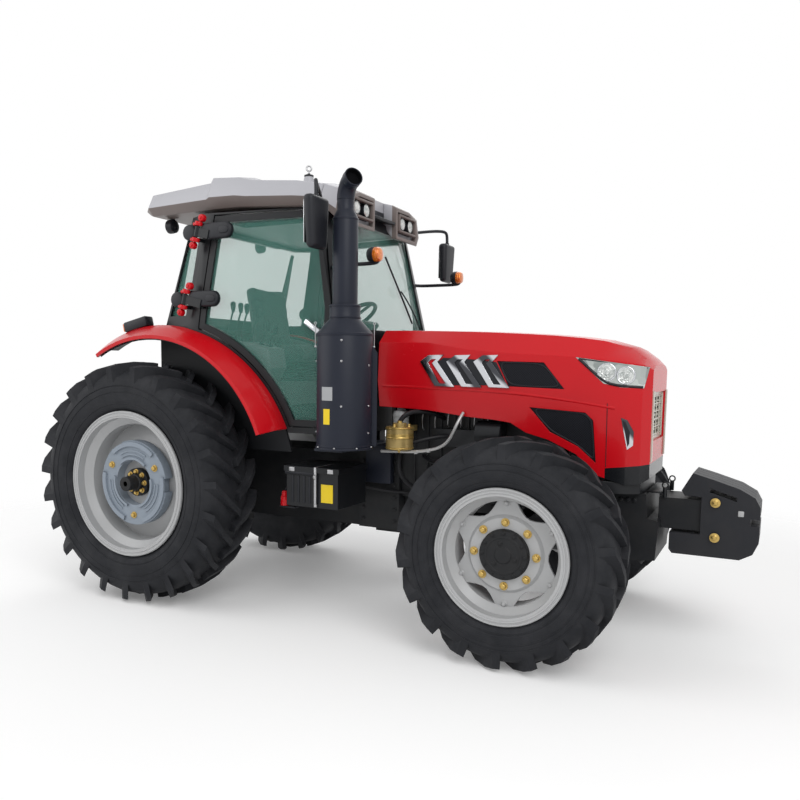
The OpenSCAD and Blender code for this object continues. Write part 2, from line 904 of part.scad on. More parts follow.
module tie_rod() {
    arm_low_z = front_axle_z - kingpin_boss_h / 2 - run_gap - yoke_t;
    translate([wheelbase - steer_arm_len, 0, arm_low_z - tie_eye_t - seat_gap]) color("dimgray") {
        both_sides() translate([0, kingpin_y, 0]) {
            cylinder(r = tie_eye_r, h = tie_eye_t);
            cylinder(r = tie_pin_r, h = tie_eye_t + steer_arm_t);
        }
        translate([0, 0, tie_eye_t / 2]) bar_y(tie_rod_r, -kingpin_y, kingpin_y);
    }
}

// Front axle with its trunnions, and the support that carries it

module front_axle() {
    color("black") translate([wheelbase, 0, front_axle_z]) difference() {
        union() {
            bar_x(axle_diff_r, -axle_diff_half, axle_diff_half);
            bar_x(axle_trunnion_r, -axle_trunnion_len, axle_trunnion_len);
            both_sides() {
                rotate([-90, 0, 0]) cylinder(r1 = axle_root_r, r2 = axle_tube_r, h = kingpin_y);
                translate([0, kingpin_y, -kingpin_boss_h / 2]) cylinder(r = kingpin_boss_r,
                    h = kingpin_boss_h);
            }
        }
        both_sides() translate([0, kingpin_y, -kingpin_boss_h / 2 - overrun])
            cylinder(r = kingpin_r + seat_gap, h = kingpin_boss_h + 2 * overrun);
        both_sides() translate([0, kingpin_y, 0]) for (s = [-1, 1])
            translate([0, 0, s * (kingpin_boss_h / 2 + overrun)])
                cylinder(r = yoke_r + run_gap, h = 2 * overrun, center = true);
        both_sides() box([-axle_root_r, kingpin_y + kingpin_boss_r, -axle_root_r],
            [axle_root_r, kingpin_y + axle_root_r, axle_root_r]);
    }
}

module front_support() {
    front_x = support_rear_x + support_len;
    rail_z = support_top_z - support_rail_h;
    block_x = front_x - support_block_len;
    color("black") {
        both_sides() box([support_rear_x, support_half_w - support_rail_t, rail_z],
            [front_x - support_block_len / 2, support_half_w, support_top_z]);
        side_plate(placed(support_block_shares, [block_x, support_top_z - support_block_h],
            [support_block_len, support_block_h]), -support_half_w, support_half_w);
        for (s = [-1, 1]) translate([wheelbase + s * (axle_trunnion_len - hanger_t / 2), 0, 0])
            difference() {
            union() {
                box([-hanger_t / 2, -support_half_w, rail_z], [hanger_t / 2, support_half_w,
                    support_top_z]);
                box([-hanger_t / 2, -hanger_half_w, front_axle_z], [hanger_t / 2, hanger_half_w, rail_z]);
                translate([0, 0, front_axle_z]) bar_x(hanger_half_w, -hanger_t / 2, hanger_t / 2);
            }
            translate([0, 0, front_axle_z]) bar_x(axle_trunnion_r + seat_gap, -hanger_t, hanger_t);
        }
        box([front_x - overrun, -hook_half_w, hook_z],
            [weights_rear_x + weights_len * weight_throat_share - seat_gap, hook_half_w, hook_z + hook_h]);
    }
}

module front_weights() {
    outline = placed(weights_shares, [weights_rear_x, weights_z], [weights_len, weights_h]);
    slot = placed(weight_slot_shares, [weights_rear_x, weights_z], [weights_len, weights_h]);
    bolts = placed(weight_bolt_shares, [weights_rear_x, weights_z], [weights_len, weights_h]);
    pitch = weight_slab + weight_gap;
    half = (weight_count * pitch - weight_gap) / 2;
    color("black") {
        difference() {
            for (i = [0:weight_count - 1]) side_plate(outline, i * pitch - half,
                i * pitch - half + weight_slab);
            side_plate(slot, -half - overrun, half + overrun);
        }
        for (b = bolts) translate([b[0], 0, b[1]]) {
            bar_y(weight_bolt_r, -half, half);
            both_sides() bar_y(weight_bolt_head_r, half, half + weight_bolt_head_t);
        }
    }
}

// Engine, radiator and transmission

module engine() {
    top_z = engine_z + engine_h;
    upper_x = engine_rear_x + engine_upper_len;
    color("black") {
        box([engine_rear_x, -engine_half_w, engine_z], [engine_rear_x + engine_len, engine_half_w, top_z]);
        box([engine_rear_x, -engine_half_w, engine_upper_z], [upper_x, engine_half_w, top_z]);
        box([engine_rear_x, -pan_half_w, pan_z], [engine_rear_x + engine_len - pulley_t, pan_half_w,
            engine_z]);
        box([engine_rear_x, -head_half_w, top_z], [upper_x, head_half_w, top_z + head_h]);
        translate([engine_rear_x + engine_len, 0, engine_z + pulley_r]) bar_x(pulley_r, 0, pulley_t);
        translate([upper_x, 0, fan_z]) {
            bar_x(fan_hub_r, 0, fan_gap);
            bar_x(fan_r, fan_gap, fan_gap + fan_t);
        }
        for (i = [0:engine_ribs - 1])
            translate([engine_rear_x + engine_len * (i + 1) / (engine_ribs + 1), 0, 0])
                box([-engine_rib_t / 2, -engine_half_w - engine_rib_out, engine_z],
                    [engine_rib_t / 2, engine_half_w + engine_rib_out, top_z]);
    }
}

module engine_fittings() {
    color("goldenrod") translate([filter_x, -filter_y, filter_z]) {
        cylinder(r = filter_r, h = filter_h);
        translate([0, 0, filter_h]) cylinder(r = filter_cap_r, h = filter_cap_h);
        box([-filter_arm_h / 2, 0, filter_h - filter_arm_h],
            [filter_arm_h / 2, filter_y - engine_half_w - engine_rib_out - seat_gap, filter_h]);
    }
    color("dimgray") {
        for (s = [-1, 1]) translate([alternator_x,
            s * (engine_half_w + engine_rib_out + alternator_r + seat_gap), alternator_z])
            bar_x(alternator_r, -alternator_len / 2, alternator_len / 2);
        both_sides() box([pump_x, engine_half_w + engine_rib_out + seat_gap, pump_z],
            [pump_x + pump_len, engine_half_w + engine_rib_out + pump_out, pump_z + pump_h]);
        for (i = [0, 1]) translate([oil_filter_x + i * (2 * oil_filter_r + overrun),
            -(engine_half_w + engine_rib_out + oil_filter_r + seat_gap), oil_filter_z])
            cylinder(r = oil_filter_r, h = oil_filter_h);
    }
}

// Hood hinge, at the rear of the hood under its top

module on_hood_hinge() {
    translate([hood_rear_x + hood_hinge_in, 0, hood_top_z - hood_hinge_drop]) children();
}

module bulkhead() {
    base_z = case_z + case_h + bell_rib_t;
    top_z = hood_top_z - hood_hinge_drop - bulkhead_drop;
    ear_y = hood_lug_y + hood_lug_t + seat_gap;
    color("black") {
        box([bulkhead_x, -bulkhead_half_w, base_z], [bulkhead_x + bulkhead_t, bulkhead_half_w, top_z]);
        both_sides() {
            on_hood_hinge() {
                bar_y(hood_lug_r, ear_y, ear_y + hood_lug_t);
                bar_y(hood_pin_r, hood_lug_y, ear_y + hood_lug_t);
            }
            side_plate([
                [hood_rear_x + hood_hinge_in - hood_lug_r, hood_top_z - hood_hinge_drop],
                [hood_rear_x + hood_hinge_in + hood_lug_r, hood_top_z - hood_hinge_drop],
                [bulkhead_x + bulkhead_t, top_z], [bulkhead_x + bulkhead_t, top_z - bulkhead_ear_w],
                [bulkhead_x, top_z - bulkhead_ear_w]
            ], ear_y, ear_y + hood_lug_t);
        }
    }
}

module radiator() {
    color("dimgray") {
        box([radiator_x, -radiator_half_w, support_top_z], [radiator_x + radiator_t, radiator_half_w,
            support_top_z + radiator_h]);
        box([radiator_x - radiator_duct_len, -radiator_duct_half_w, support_top_z + radiator_foot_t],
            [radiator_x, radiator_duct_half_w, support_top_z + radiator_h - radiator_foot_t]);
    }
}

module transmission() {
    case_front_x = case_rear_x + case_len;
    color("black") difference() {
        union() {
            box([case_rear_x, -case_half_w, case_z], [case_front_x, case_half_w, case_z + case_h]);
            box([case_front_x - bell_len, -bell_half_w, case_z], [case_front_x, bell_half_w,
                case_z + case_h + bell_rib_t]);
            box([case_rear_x, -rear_case_half_w, rear_case_z],
                [case_rear_x + rear_case_len, rear_case_half_w, rear_case_z + rear_case_h]);
            both_sides() translate([0, 0, rear_axle_z]) {
                rotate([-90, 0, 0]) cylinder(r1 = trumpet_root_r, r2 = trumpet_r, h = trumpet_end_y);
                bar_y(trumpet_collar_r, trumpet_end_y - trumpet_collar_w, trumpet_end_y);
            }
            box([case_front_x - drive_box_len, -drive_box_half_w, case_z - drive_box_h / 4],
                [case_front_x, drive_box_half_w, case_z]);
            translate([0, 0, drive_shaft_z]) bar_x(drive_shaft_r, case_front_x,
                wheelbase - axle_trunnion_len - seat_gap);
        }
        both_sides() translate([0, 0, rear_axle_z]) bar_y(rear_shaft_r + seat_gap,
            rear_shaft_in_y - run_gap, trumpet_end_y + overrun);
    }
}

// Exhaust canister and pipe on the right

module exhaust() {
    cone_z = can_z + can_h;
    pipe_z = cone_z + can_cone_h + collar_h;
    neck_z = pipe_z + pipe_h + neck_cone_h;
    bend_z = neck_z + neck_h;
    inner_y = stack_y - bell_half_w - seat_gap;
    color("darkslategray") translate([stack_x, -stack_y, 0]) {
        rotate_extrude() polygon([
            [0, can_z], [can_foot_r, can_z], [can_foot_r, can_z + can_foot_t], [can_r, can_z + can_foot_t],
            [can_r, cone_z], [collar_r, cone_z + can_cone_h], [collar_r, pipe_z], [pipe_r, pipe_z],
            [pipe_r, pipe_z + pipe_h], [neck_r, neck_z], [neck_r, bend_z + bend_step], [0,
                bend_z + bend_step]
        ]);
        rotate(bend_turn) translate([bend_radius, 0, bend_z]) {
            rotate([90, 0, 0]) rotate([0, 0, 180 - bend_angle]) rotate_extrude(angle = bend_angle)
                translate([bend_radius, 0]) circle(r = neck_r + bend_step);
            rotate([0, bend_angle, 0]) translate([-bend_radius, 0, -bend_step]) difference() {
                cylinder(r = neck_r + 2 * bend_step, h = mouth_len);
                translate([0, 0, mouth_len - mouth_depth])
                    cylinder(r = neck_r + bend_step - mouth_wall, h = mouth_len);
            }
        }
        box([-shelf_rear_len, -shelf_out, can_z - shelf_t], [shelf_front_len, inner_y, can_z]);
        box([-shelf_rear_len, inner_y - bracket_t, can_z - bracket_h], [shelf_front_len, inner_y, can_z]);
    }
}

module battery_box() {
    top_z = battery_z + battery_h;
    color("black") translate([battery_x, 0, 0]) {
        box([0, -battery_y - battery_w, battery_z], [battery_len, -battery_y, top_z]);
        box([-battery_lid_out, -battery_y - battery_w - battery_lid_out, top_z],
            [battery_len + battery_lid_out, -battery_y, top_z + battery_lid_h]);
        box([0, -battery_y, battery_arm_z], [battery_arm_len, -case_half_w - seat_gap,
            battery_arm_z + battery_arm_h]);
    }
}

module fuel_tank() {
    color("black") {
        translate([tank_x, tank_y + tank_w, tank_z]) rotate([90, 0, 0]) linear_extrude(tank_w)
            rounded_rectangle(tank_len, tank_h, tank_corner_r);
        translate([tank_x + tank_len - 2 * tank_cap_r, tank_y + tank_w - 2 * tank_cap_r,
            tank_z + tank_h]) cylinder(r = tank_cap_r, h = tank_cap_h);
        box([tank_x + tank_corner_r, case_half_w + seat_gap, battery_arm_z],
            [tank_x + tank_len - tank_corner_r, tank_y, battery_arm_z + battery_arm_h]);
    }
}

module left_steps() {
    top_z = step_z + (step_count - 1) * step_rise;
    color("black") {
        for (i = [0:step_count - 1])
            box([step_x, step_y, step_z + i * step_rise], [step_x + step_len, step_y + step_w,
                step_z + i * step_rise + step_t]);
        for (x = [step_x - step_post_t, step_x + step_len])
            box([x, step_y + step_w / 4, step_z], [x + step_post_t, step_y + 3 * step_w / 4,
                top_z + step_t + step_lip]);
        box([step_x, tank_y + tank_w + seat_gap, step_arm_z], [step_x + step_len, step_y + step_w / 2,
            step_arm_z + step_arm_h]);
    }
}

// Cab shell: outlines in plan at the sill, the belt and the top rail

function cab_plan(z, rear_in, front_in, side_in, inset) =
    let (
        xr = cab_rear_x + rear_in + inset,
        xf = cab_rear_x + cab_len - front_in - inset,
        xc = cab_rear_x + cab_len * cab_post_share + rear_in / 2,
        xa = xr + (xf - xr) * cab_screen_share,
        yr = cab_half_w * cab_rear_half_w_share - side_in - inset,
        yc = cab_half_w - side_in - inset,
        ya = cab_half_w * cab_front_half_w_share - side_in - inset,
        right = concat(
            [[xr, -yr, z], [xc, -yc, z], [xa, -ya, z]],
            [for (i = [1:screen_steps - 1]) let (a = 90 * i / screen_steps) [xa + (xf - xa) * sin(a),
                -ya * cos(a), z]]
        ),
        n = len(right)
    )
    concat(right, [[xf, 0, z]], [for (i = [n - 1:-1:0]) [right[i][0], -right[i][1], z]]);

module cab_envelope(inset, up = 0, down = 0) {
    skin([
        cab_plan(cab_sill_z - down, 0, cab_foot_in, cab_foot_in, inset),
        cab_plan(cab_belt_z, 0, 0, 0, inset),
        cab_plan(cab_top_z + up, cab_top_rear_in, cab_top_front_in, cab_top_side_in, inset)
    ]);
}

module cab_shell(from, to) {
    difference() {
        cab_envelope(from);
        cab_envelope(to, overrun, overrun);
    }
}

module fender_axis_bar(r) {
    translate([fender_axis_x, 0, fender_axis_z]) bar_y(r, -cab_half_w - overrun, cab_half_w + overrun);
}

function cab_outline(shares) = placed(shares, [cab_rear_x, cab_sill_z], [cab_len, cab_h]);

module right_side(outline) {
    side_plate(outline, -cab_half_w - overrun, -cab_half_w / 2);
}

module door_opening(grow) {
    difference() {
        right_side(grown(cab_outline(door_shares), grow));
        fender_axis_bar(fender_r + door_arc_gap - grow);
    }
}

module door_window(grow) {
    difference() {
        right_side(grown(cab_outline(door_shares), grow - door_rim));
        fender_axis_bar(fender_r + door_arc_gap + door_rim_r - grow);
    }
}

module rear_opening(grow) {
    half = cab_half_w * rear_glass_half_share + grow;
    z = [for (s = rear_glass_z_shares) cab_sill_z + s * cab_h];
    cross_plate(rectangle(-half, z[0] - grow, half, z[1] + grow), cab_rear_x - overrun,
        cab_rear_x + cab_len * cab_post_share);
}

module screen_opening(grow) {
    half = cab_half_w * cab_front_half_w_share * screen_half_share - cab_top_side_in - cab_wall + grow;
    z = [for (s = screen_z_shares) cab_sill_z + s * cab_h];
    cross_plate(rectangle(-half, z[0] - grow, half, z[1] + grow), cab_rear_x + cab_len / 2,
        cab_rear_x + cab_len + overrun);
}

module cab_frame() {
    color("black") {
        difference() {
            union() {
                cab_shell(0, cab_wall);
                intersection() {
                    cab_envelope(cab_wall - overrun);
                    box([cab_rear_x, -cab_half_w, cab_top_z - cab_wall], [cab_rear_x + cab_len,
                        cab_half_w, cab_top_z]);
                }
            }
            fender_axis_bar(fender_r + seat_gap);
            both_sides() door_opening(door_gap);
            both_sides() right_side(cab_outline(quarter_shares));
            rear_opening(0);
            screen_opening(0);
        }
        both_sides() hinge_posts();
    }
}

module glass_layer() {
    cab_shell(glass_depth, glass_depth + glass_t);
}

module cab_glass() {
    color("lightseagreen") {
        intersection() {
            glass_layer();
            both_sides() right_side(grown(cab_outline(quarter_shares), -seat_gap));
        }
        intersection() {
            glass_layer();
            rear_opening(-seat_gap);
        }
        intersection() {
            glass_layer();
            screen_opening(-seat_gap);
        }
    }
}

// Hinge axis on the right door, at its lower hinge

module on_hinge_axis() {
    translate([hinge_low_x, -hinge_y, hinge_low_z]) rotate([0, hinge_tilt, 0]) children();
}

// Distance along the hinge axis, and from the axis in to the skin, of each hinge
hinge_places = [0, norm([hinge_top_x - hinge_low_x, hinge_top_z - hinge_low_z])];
hinge_reaches = [for (z = [hinge_low_z, hinge_top_z])
    hinge_y - cab_half_w + cab_top_side_in * (z - cab_belt_z) / (cab_top_z - cab_belt_z) + hinge_sink];

module hinge_posts() {
    on_hinge_axis() for (i = [0, 1]) translate([0, 0, hinge_places[i]]) {
        cylinder(r = hinge_pin_r, h = hinge_h + 2 * hinge_ear_t, center = true);
        for (s = [-1, 1]) translate([0, 0, s * (hinge_h / 2 + hinge_gap + hinge_ear_t / 2)]) {
            cylinder(r = hinge_r, h = hinge_ear_t, center = true);
            box([-hinge_r, 0, -hinge_ear_t / 2], [hinge_r, hinge_reaches[i], hinge_ear_t / 2]);
        }
    }
}

module door_right() {
    color("black") {
        difference() {
            intersection() {
                cab_shell(0, cab_wall);
                door_opening(0);
            }
            door_window(0);
        }
        on_hinge_axis() for (i = [0, 1]) translate([0, 0, hinge_places[i]]) difference() {
            union() {
                cylinder(r = hinge_r, h = hinge_h, center = true);
                box([0, -hinge_leaf_t / 2, -hinge_leaf_h / 2], [hinge_leaf_lens[i], hinge_leaf_t / 2,
                    hinge_leaf_h / 2]);
                box([hinge_leaf_lens[i] - hinge_pad_len, 0, -hinge_leaf_h / 2],
                    [hinge_leaf_lens[i], hinge_reaches[i], hinge_leaf_h / 2]);
            }
            cylinder(r = hinge_pin_r + seat_gap, h = hinge_h + overrun, center = true);
        }
        translate([handle_x, -cab_half_w * cab_front_half_w_share, handle_z]) rotate([0, handle_tilt, 0]) {
            box([-handle_len, -handle_out, -handle_h / 2], [0, handle_t - handle_out, handle_h / 2]);
            box([-handle_foot, -handle_out, -handle_h / 2], [0, handle_sink, handle_h / 2]);
        }
    }
}

module door_right_glass() {
    color("lightseagreen") intersection() {
        glass_layer();
        door_window(-seat_gap);
    }
}

// Inside of the cab

module cab_tub() {
    case_top_z = case_z + case_h;
    rear_top_z = rear_case_z + rear_case_h;
    color("dimgray") {
        intersection() {
            cab_envelope(cab_wall + seat_gap, 0, overrun);
            box([tub_deck_front_x - tub_t, -cab_half_w, cab_sill_z], [cab_rear_x + cab_len, cab_half_w,
                cab_sill_z + tub_floor_t]);
        }
        box([tub_rear_x, -tub_half_w + tub_t, tub_deck_z], [tub_deck_front_x, tub_half_w - tub_t,
            tub_deck_z + tub_floor_t]);
        box([tub_deck_front_x - tub_t, -tub_half_w + overrun, cab_sill_z], [tub_deck_front_x,
            tub_half_w - overrun, tub_deck_z]);
        both_sides() {
            intersection() {
                box([tub_rear_x, tub_half_w - tub_t, tub_side_z], [fender_axis_x + fender_r,
                    tub_half_w, cab_belt_z + overrun]);
                translate([fender_axis_x, 0, fender_axis_z]) bar_y(tub_arch_r, 0, tub_half_w);
            }
            box([tub_leg_x, tub_leg_y, case_top_z], [tub_leg_x + tub_leg_w, tub_leg_y + tub_leg_w,
                cab_sill_z]);
            box([tub_rear_leg_x, tub_leg_y, rear_top_z], [tub_rear_leg_x + tub_leg_w,
                tub_leg_y + tub_leg_w, tub_deck_z]);
        }
        box([tub_rear_x, -tub_half_w + tub_t, tub_deck_z], [tub_rear_x + tub_t, tub_half_w - tub_t,
            cab_belt_z - overrun]);
    }
}

// A slab with its thickness along Z and rounded corners
module rounded_slab(w, d, h, r) {
    linear_extrude(h) rounded_rectangle(w, d, r);
}

module seat() {
    base_z = tub_deck_z + tub_floor_t + seat_gap;
    cushion_z = base_z + seat_base_h;
    rear_x = seat_x - seat_cushion_len / 2;
    color("dimgray") {
        box([seat_x - seat_base_w / 2, -seat_base_w / 2, base_z], [seat_x + seat_base_w / 2,
            seat_base_w / 2, cushion_z]);
        translate([rear_x, -seat_w / 2, cushion_z]) rounded_slab(seat_cushion_len, seat_w,
            seat_cushion_h, seat_round);
        translate([rear_x + seat_back_t / 2, 0, cushion_z + seat_cushion_h / 3])
            rotate([0, -seat_back_lean, 0])
            translate([0, seat_w / 2, 0])
            rotate([90, 0, -90]) rounded_slab(seat_w, seat_back_h, seat_back_t, seat_round);
    }
}

module dashboard() {
    floor_z = cab_sill_z + tub_floor_t + seat_gap;
    color("black") {
        side_plate(placed(console_shares, [console_x, floor_z], [console_len, console_z - floor_z]),
            -console_half_w, console_half_w);
        translate([console_x + console_len / 2, 0, console_z - column_len / 3]) rotate([0,
            -column_tilt, 0]) {
            cylinder(r = column_r, h = column_len);
            translate([0, 0, column_len]) {
                rotate_extrude() translate([wheel_ring_r, 0]) circle(r = wheel_grip_r);
                cylinder(r = wheel_hub_r, h = wheel_hub_t, center = true);
                for (i = [0:wheel_spokes - 1]) rotate(360 * i / wheel_spokes)
                    box([0, -wheel_spoke_w / 2, -wheel_spoke_t / 2], [wheel_ring_r, wheel_spoke_w / 2,
                        wheel_spoke_t / 2]);
            }
        }
    }
}

// Roof: sections across the cab, with lower edge, shoulder and crown heights as shares

function roof_loop(i, inset, down) =
    let (
        s = roof_top_shares[i],
        x = roof_rear_x + s[0] * roof_len + (i == 0 ? inset : i == len(roof_top_shares) - 1 ? -inset : 0),
        w = roof_half_w * roof_width_shares[i] - inset,
        z0 = cab_top_z + max(s[1], 0) * roof_h + min(s[1], 0) * roof_h - down,
        z1 = cab_top_z + s[2] * roof_h - inset,
        z2 = cab_top_z + s[3] * roof_h - inset,
        left = [[x, w * roof_shoulder_share, z0], [x, w, (z0 + z1) / 2], [x, w * roof_shoulder_share, z1],
            [x, w * roof_crown_share, z2]]
    )
    concat(left, [for (k = [3:-1:0]) [x, -left[k][1], left[k][2]]]);

module roof_form(inset, down) {
    skin([for (i = [0:len(roof_top_shares) - 1]) roof_loop(i, inset, down)]);
}

module roof_recess() {
    front_x = roof_rear_x + roof_len;
    both_sides() box([front_x - recess_depth, recess_y, recess_z], [front_x + overrun,
        recess_y + recess_w, recess_z + recess_h]);
}

module cab_roof() {
    front_x = roof_rear_x + roof_len;
    color("lightgray") {
        difference() {
            roof_form(0, 0);
            cab_envelope(-seat_gap, seat_gap);
            box([front_x - roof_notch_len, -roof_notch_half_w, cab_top_z - roof_h],
                [front_x + overrun, roof_notch_half_w, cab_top_z + roof_h]);
            roof_recess();
            box([roof_hollow_x, -roof_hollow_half_w, cab_top_z - overrun],
                [roof_hollow_x + roof_hollow_len, roof_hollow_half_w, cab_top_z + roof_hollow_h]);
        }
        translate([beacon_x, -beacon_y, cab_top_z + roof_hollow_h]) {
            cylinder(r1 = beacon_base_r, r2 = beacon_r, h = roof_h + beacon_h - roof_hollow_h);
        }
    }
}

module mirrors() {
    arm_z = mirror_z + mirror_h + mirror_arm_up;
    color("black") difference() {
        both_sides() {
            translate([mirror_x - mirror_t / 2, mirror_y - mirror_w / 2, mirror_z]) rotate([90, 0, 90])
                rounded_slab(mirror_w, mirror_h, mirror_t, mirror_round);
            translate([mirror_x, mirror_y, mirror_z + mirror_h - mirror_round])
                cylinder(r = mirror_arm_r - bend_step, h = mirror_arm_up + mirror_round);
            translate([mirror_x, 0, arm_z]) bar_y(mirror_arm_r, mirror_arm_in_y, mirror_y + mirror_arm_r);
        }
        roof_form(-seat_gap, seat_gap);
    }
}

module lamps() {
    back_x = roof_rear_x + roof_len - recess_depth;
    arm_z = signal_z - signal_r - signal_arm_r / 2;
    color("white") both_sides() for (i = [0:recess_lamps - 1])
        translate([0, recess_y + recess_w * (i + 1 / 2) / recess_lamps, recess_z + recess_h / 2])
            bar_x(lamp_r, back_x, back_x + lamp_t);
    color("orange") {
        difference() {
            both_sides() {
                translate([signal_x, signal_y, signal_z]) bar_x(signal_r, -signal_t / 2, signal_t / 2);
                translate([signal_x, signal_y, arm_z]) cylinder(r = signal_post_r, h = signal_r);
                translate([signal_foot_x, signal_y, arm_z])
                    bar_x(signal_arm_r, 0, signal_x + signal_arm_r - signal_foot_x);
                translate([signal_foot_x, 0, arm_z])
                    bar_y(signal_foot_r, signal_foot_y, signal_y + signal_foot_r);
            }
            cab_envelope(-seat_gap);
        }
        both_sides() translate([fender_axis_x, 0, fender_axis_z]) rotate([0, -tail_lean, 0])
            translate([-tail_len / 2, tail_y, fender_r + seat_gap]) cube([tail_len, tail_w, tail_h]);
    }
}

// Fenders

module fenders() {
    lip_r = fender_r - fender_lip_drop;
    section = [
        [fender_r, fender_in_y], [fender_r, fender_flat_y], [lip_r, fender_lip_y],
            [lip_r - fender_lip_h, fender_lip_y],
        [lip_r - fender_lip_h, fender_lip_y - fender_t], [lip_r - fender_t, fender_lip_y - fender_t],
        [fender_r - fender_t, fender_flat_y - fender_t / 2], [fender_r - fender_t, fender_in_y]
    ];
    color("red") both_sides() translate([fender_axis_x, 0, fender_axis_z])
        rotate([-90, 0, 0]) rotate([0, 0, -fender_to]) rotate_extrude(angle = fender_to - fender_from)
            polygon(section);
}

// Hood and what is set into it

function hood_loop(i, inset, down) =
    let (
        s = hood_shares[i], last = len(hood_shares) - 1,
        x = hood_rear_x + s[0] * hood_len + (i == 0 ? (inset > 0 ? -overrun : 0) : i == last ? -inset : 0),
        w = hood_half_w * hood_width_shares[i] - inset,
        zb = hood_z0 + s[1] * hood_span_z - down,
        zl = hood_z0 + s[2] * hood_span_z,
        zs = hood_z0 + s[3] * hood_span_z - inset / 2,
        zt = hood_z0 + s[4] * hood_span_z - inset,
        left = [[x, w * hood_low_share, zb], [x, w, zl], [x, w * hood_shoulder_share, zs],
            [x, w * hood_top_share, zt], [x, 0, zt + hood_crown]]
    )
    concat(left, [for (k = [3:-1:0]) [x, -left[k][1], left[k][2]]]);

module hood_form(inset, down = 0) {
    skin([for (i = [0:len(hood_shares) - 1]) hood_loop(i, inset, down)]);
}

function hood_outline(shares) = placed(shares, [hood_rear_x, hood_z0], [hood_len, hood_span_z]);

module hood_side(outline) {
    both_sides() side_plate(outline, -hood_half_w - overrun, -hood_cut_in_y);
}

module grille_opening(grow) {
    z = [for (s = grille_z_shares) hood_z0 + s * hood_span_z];
    cross_plate(rectangle(-grille_half_w - grow, z[0] - grow, grille_half_w + grow, z[1] + grow),
        hood_rear_x + hood_len - grille_depth, hood_rear_x + hood_len + overrun);
}

module hood() {
    lug_top = hood_hinge_drop - hood_wall / 2;
    color("red") difference() {
        union() {
            hood_layer(0, hood_wall);
            both_sides() on_hood_hinge() {
                bar_y(hood_lug_r, hood_lug_y, hood_lug_y + hood_lug_t);
                box([-hood_lug_r, hood_lug_y, 0], [hood_lug_r, hood_lug_y + hood_lug_t, lug_top]);
            }
        }
        both_sides() on_hood_hinge() bar_y(hood_pin_r + seat_gap, hood_lug_y - overrun,
            hood_lug_y + hood_lug_t + overrun);
        hood_side(hood_outline(lamp_shares));
        hood_side(hood_outline(mesh_shares));
        hood_side(hood_outline(louvre_shares));
        hood_side(hood_outline(fang_shares));
        grille_opening(0);
    }
}

module hood_layer(from, to) {
    difference() {
        hood_form(from);
        hood_form(to, overrun);
    }
}

module hood_panels() {
    color("black") intersection() {
        hood_layer(panel_sink, panel_sink + panel_t);
        union() {
            hood_side(grown(hood_outline(mesh_shares), -seat_gap));
            hood_side(grown(hood_outline(louvre_shares), -seat_gap));
        }
    }
}

module headlamps() {
    color("white") intersection() {
        hood_layer(0, hood_wall);
        hood_side(grown(hood_outline(lamp_shares), -seat_gap));
    }
}

module hood_vents() {
    color("silver") {
        intersection() {
            hood_layer(-chevron_out, -seat_gap);
            for (i = [0:chevron_count - 1])
                translate([hood_len * (chevron_x_share + i * chevron_pitch_share), 0, 0]) difference() {
                    hood_side(hood_outline(chevron_shares));
                    hood_side(hood_outline(chevron_slot_shares));
                }
        }
        intersection() {
            hood_layer(0, hood_wall);
            hood_side(grown(hood_outline(fang_shares), -seat_gap));
        }
    }
}

module grille() {
    z = [for (s = grille_z_shares) hood_z0 + s * hood_span_z];
    front_x = hood_rear_x + hood_len;
    inner = grille_half_w - grille_frame_t;
    color("silver") intersection() {
        grille_opening(-seat_gap);
        translate([front_x - grille_depth, 0, 0]) union() {
            difference() {
                cross_plate(rectangle(-grille_half_w, z[0], grille_half_w, z[1]), 0, hood_wall);
                cross_plate(rectangle(-inner, z[0] + grille_frame_t, inner, z[1] - grille_frame_t),
                    -overrun, hood_wall + overrun);
            }
            for (i = [1:grille_bars]) translate([0, 0, z[0] + (z[1] - z[0]) * i / (grille_bars + 1)])
                box([0, -grille_half_w, -grille_bar_t / 2], [grille_bar_t, grille_half_w,
                    grille_bar_t / 2]);
        }
    }
}

// Three-point linkage

// A point at a share of the lower link's length, from its front pin
link_tilt = asin(link_drop / link_len);
rod_foot = [-rod_share * link_len * cos(link_tilt), -rod_share * link_drop];

module lower_links() {
    color("dimgray") both_sides() translate([link_pin_x, link_y, link_pin_z]) {
        rotate([0, -link_tilt, 0]) difference() {
            union() {
                bar_y(link_eye_r, 0, link_t);
                box([-link_len, 0, -link_h / 2], [0, link_t, link_h / 2]);
                translate([-link_len, 0, 0]) bar_y(link_ball_r, (link_t - link_ball_t) / 2,
                    (link_t + link_ball_t) / 2);
            }
            bar_y(link_pin_r + seat_gap, -overrun, link_t + overrun);
            translate([-link_len, 0, 0]) bar_y(link_ball_bore_r, -overrun, link_t + overrun);
        }
        translate([rod_foot[0], 0, rod_foot[1]]) bar_y(rod_pin_r, link_t / 2, rod_y - link_y + rod_t);
    }
}

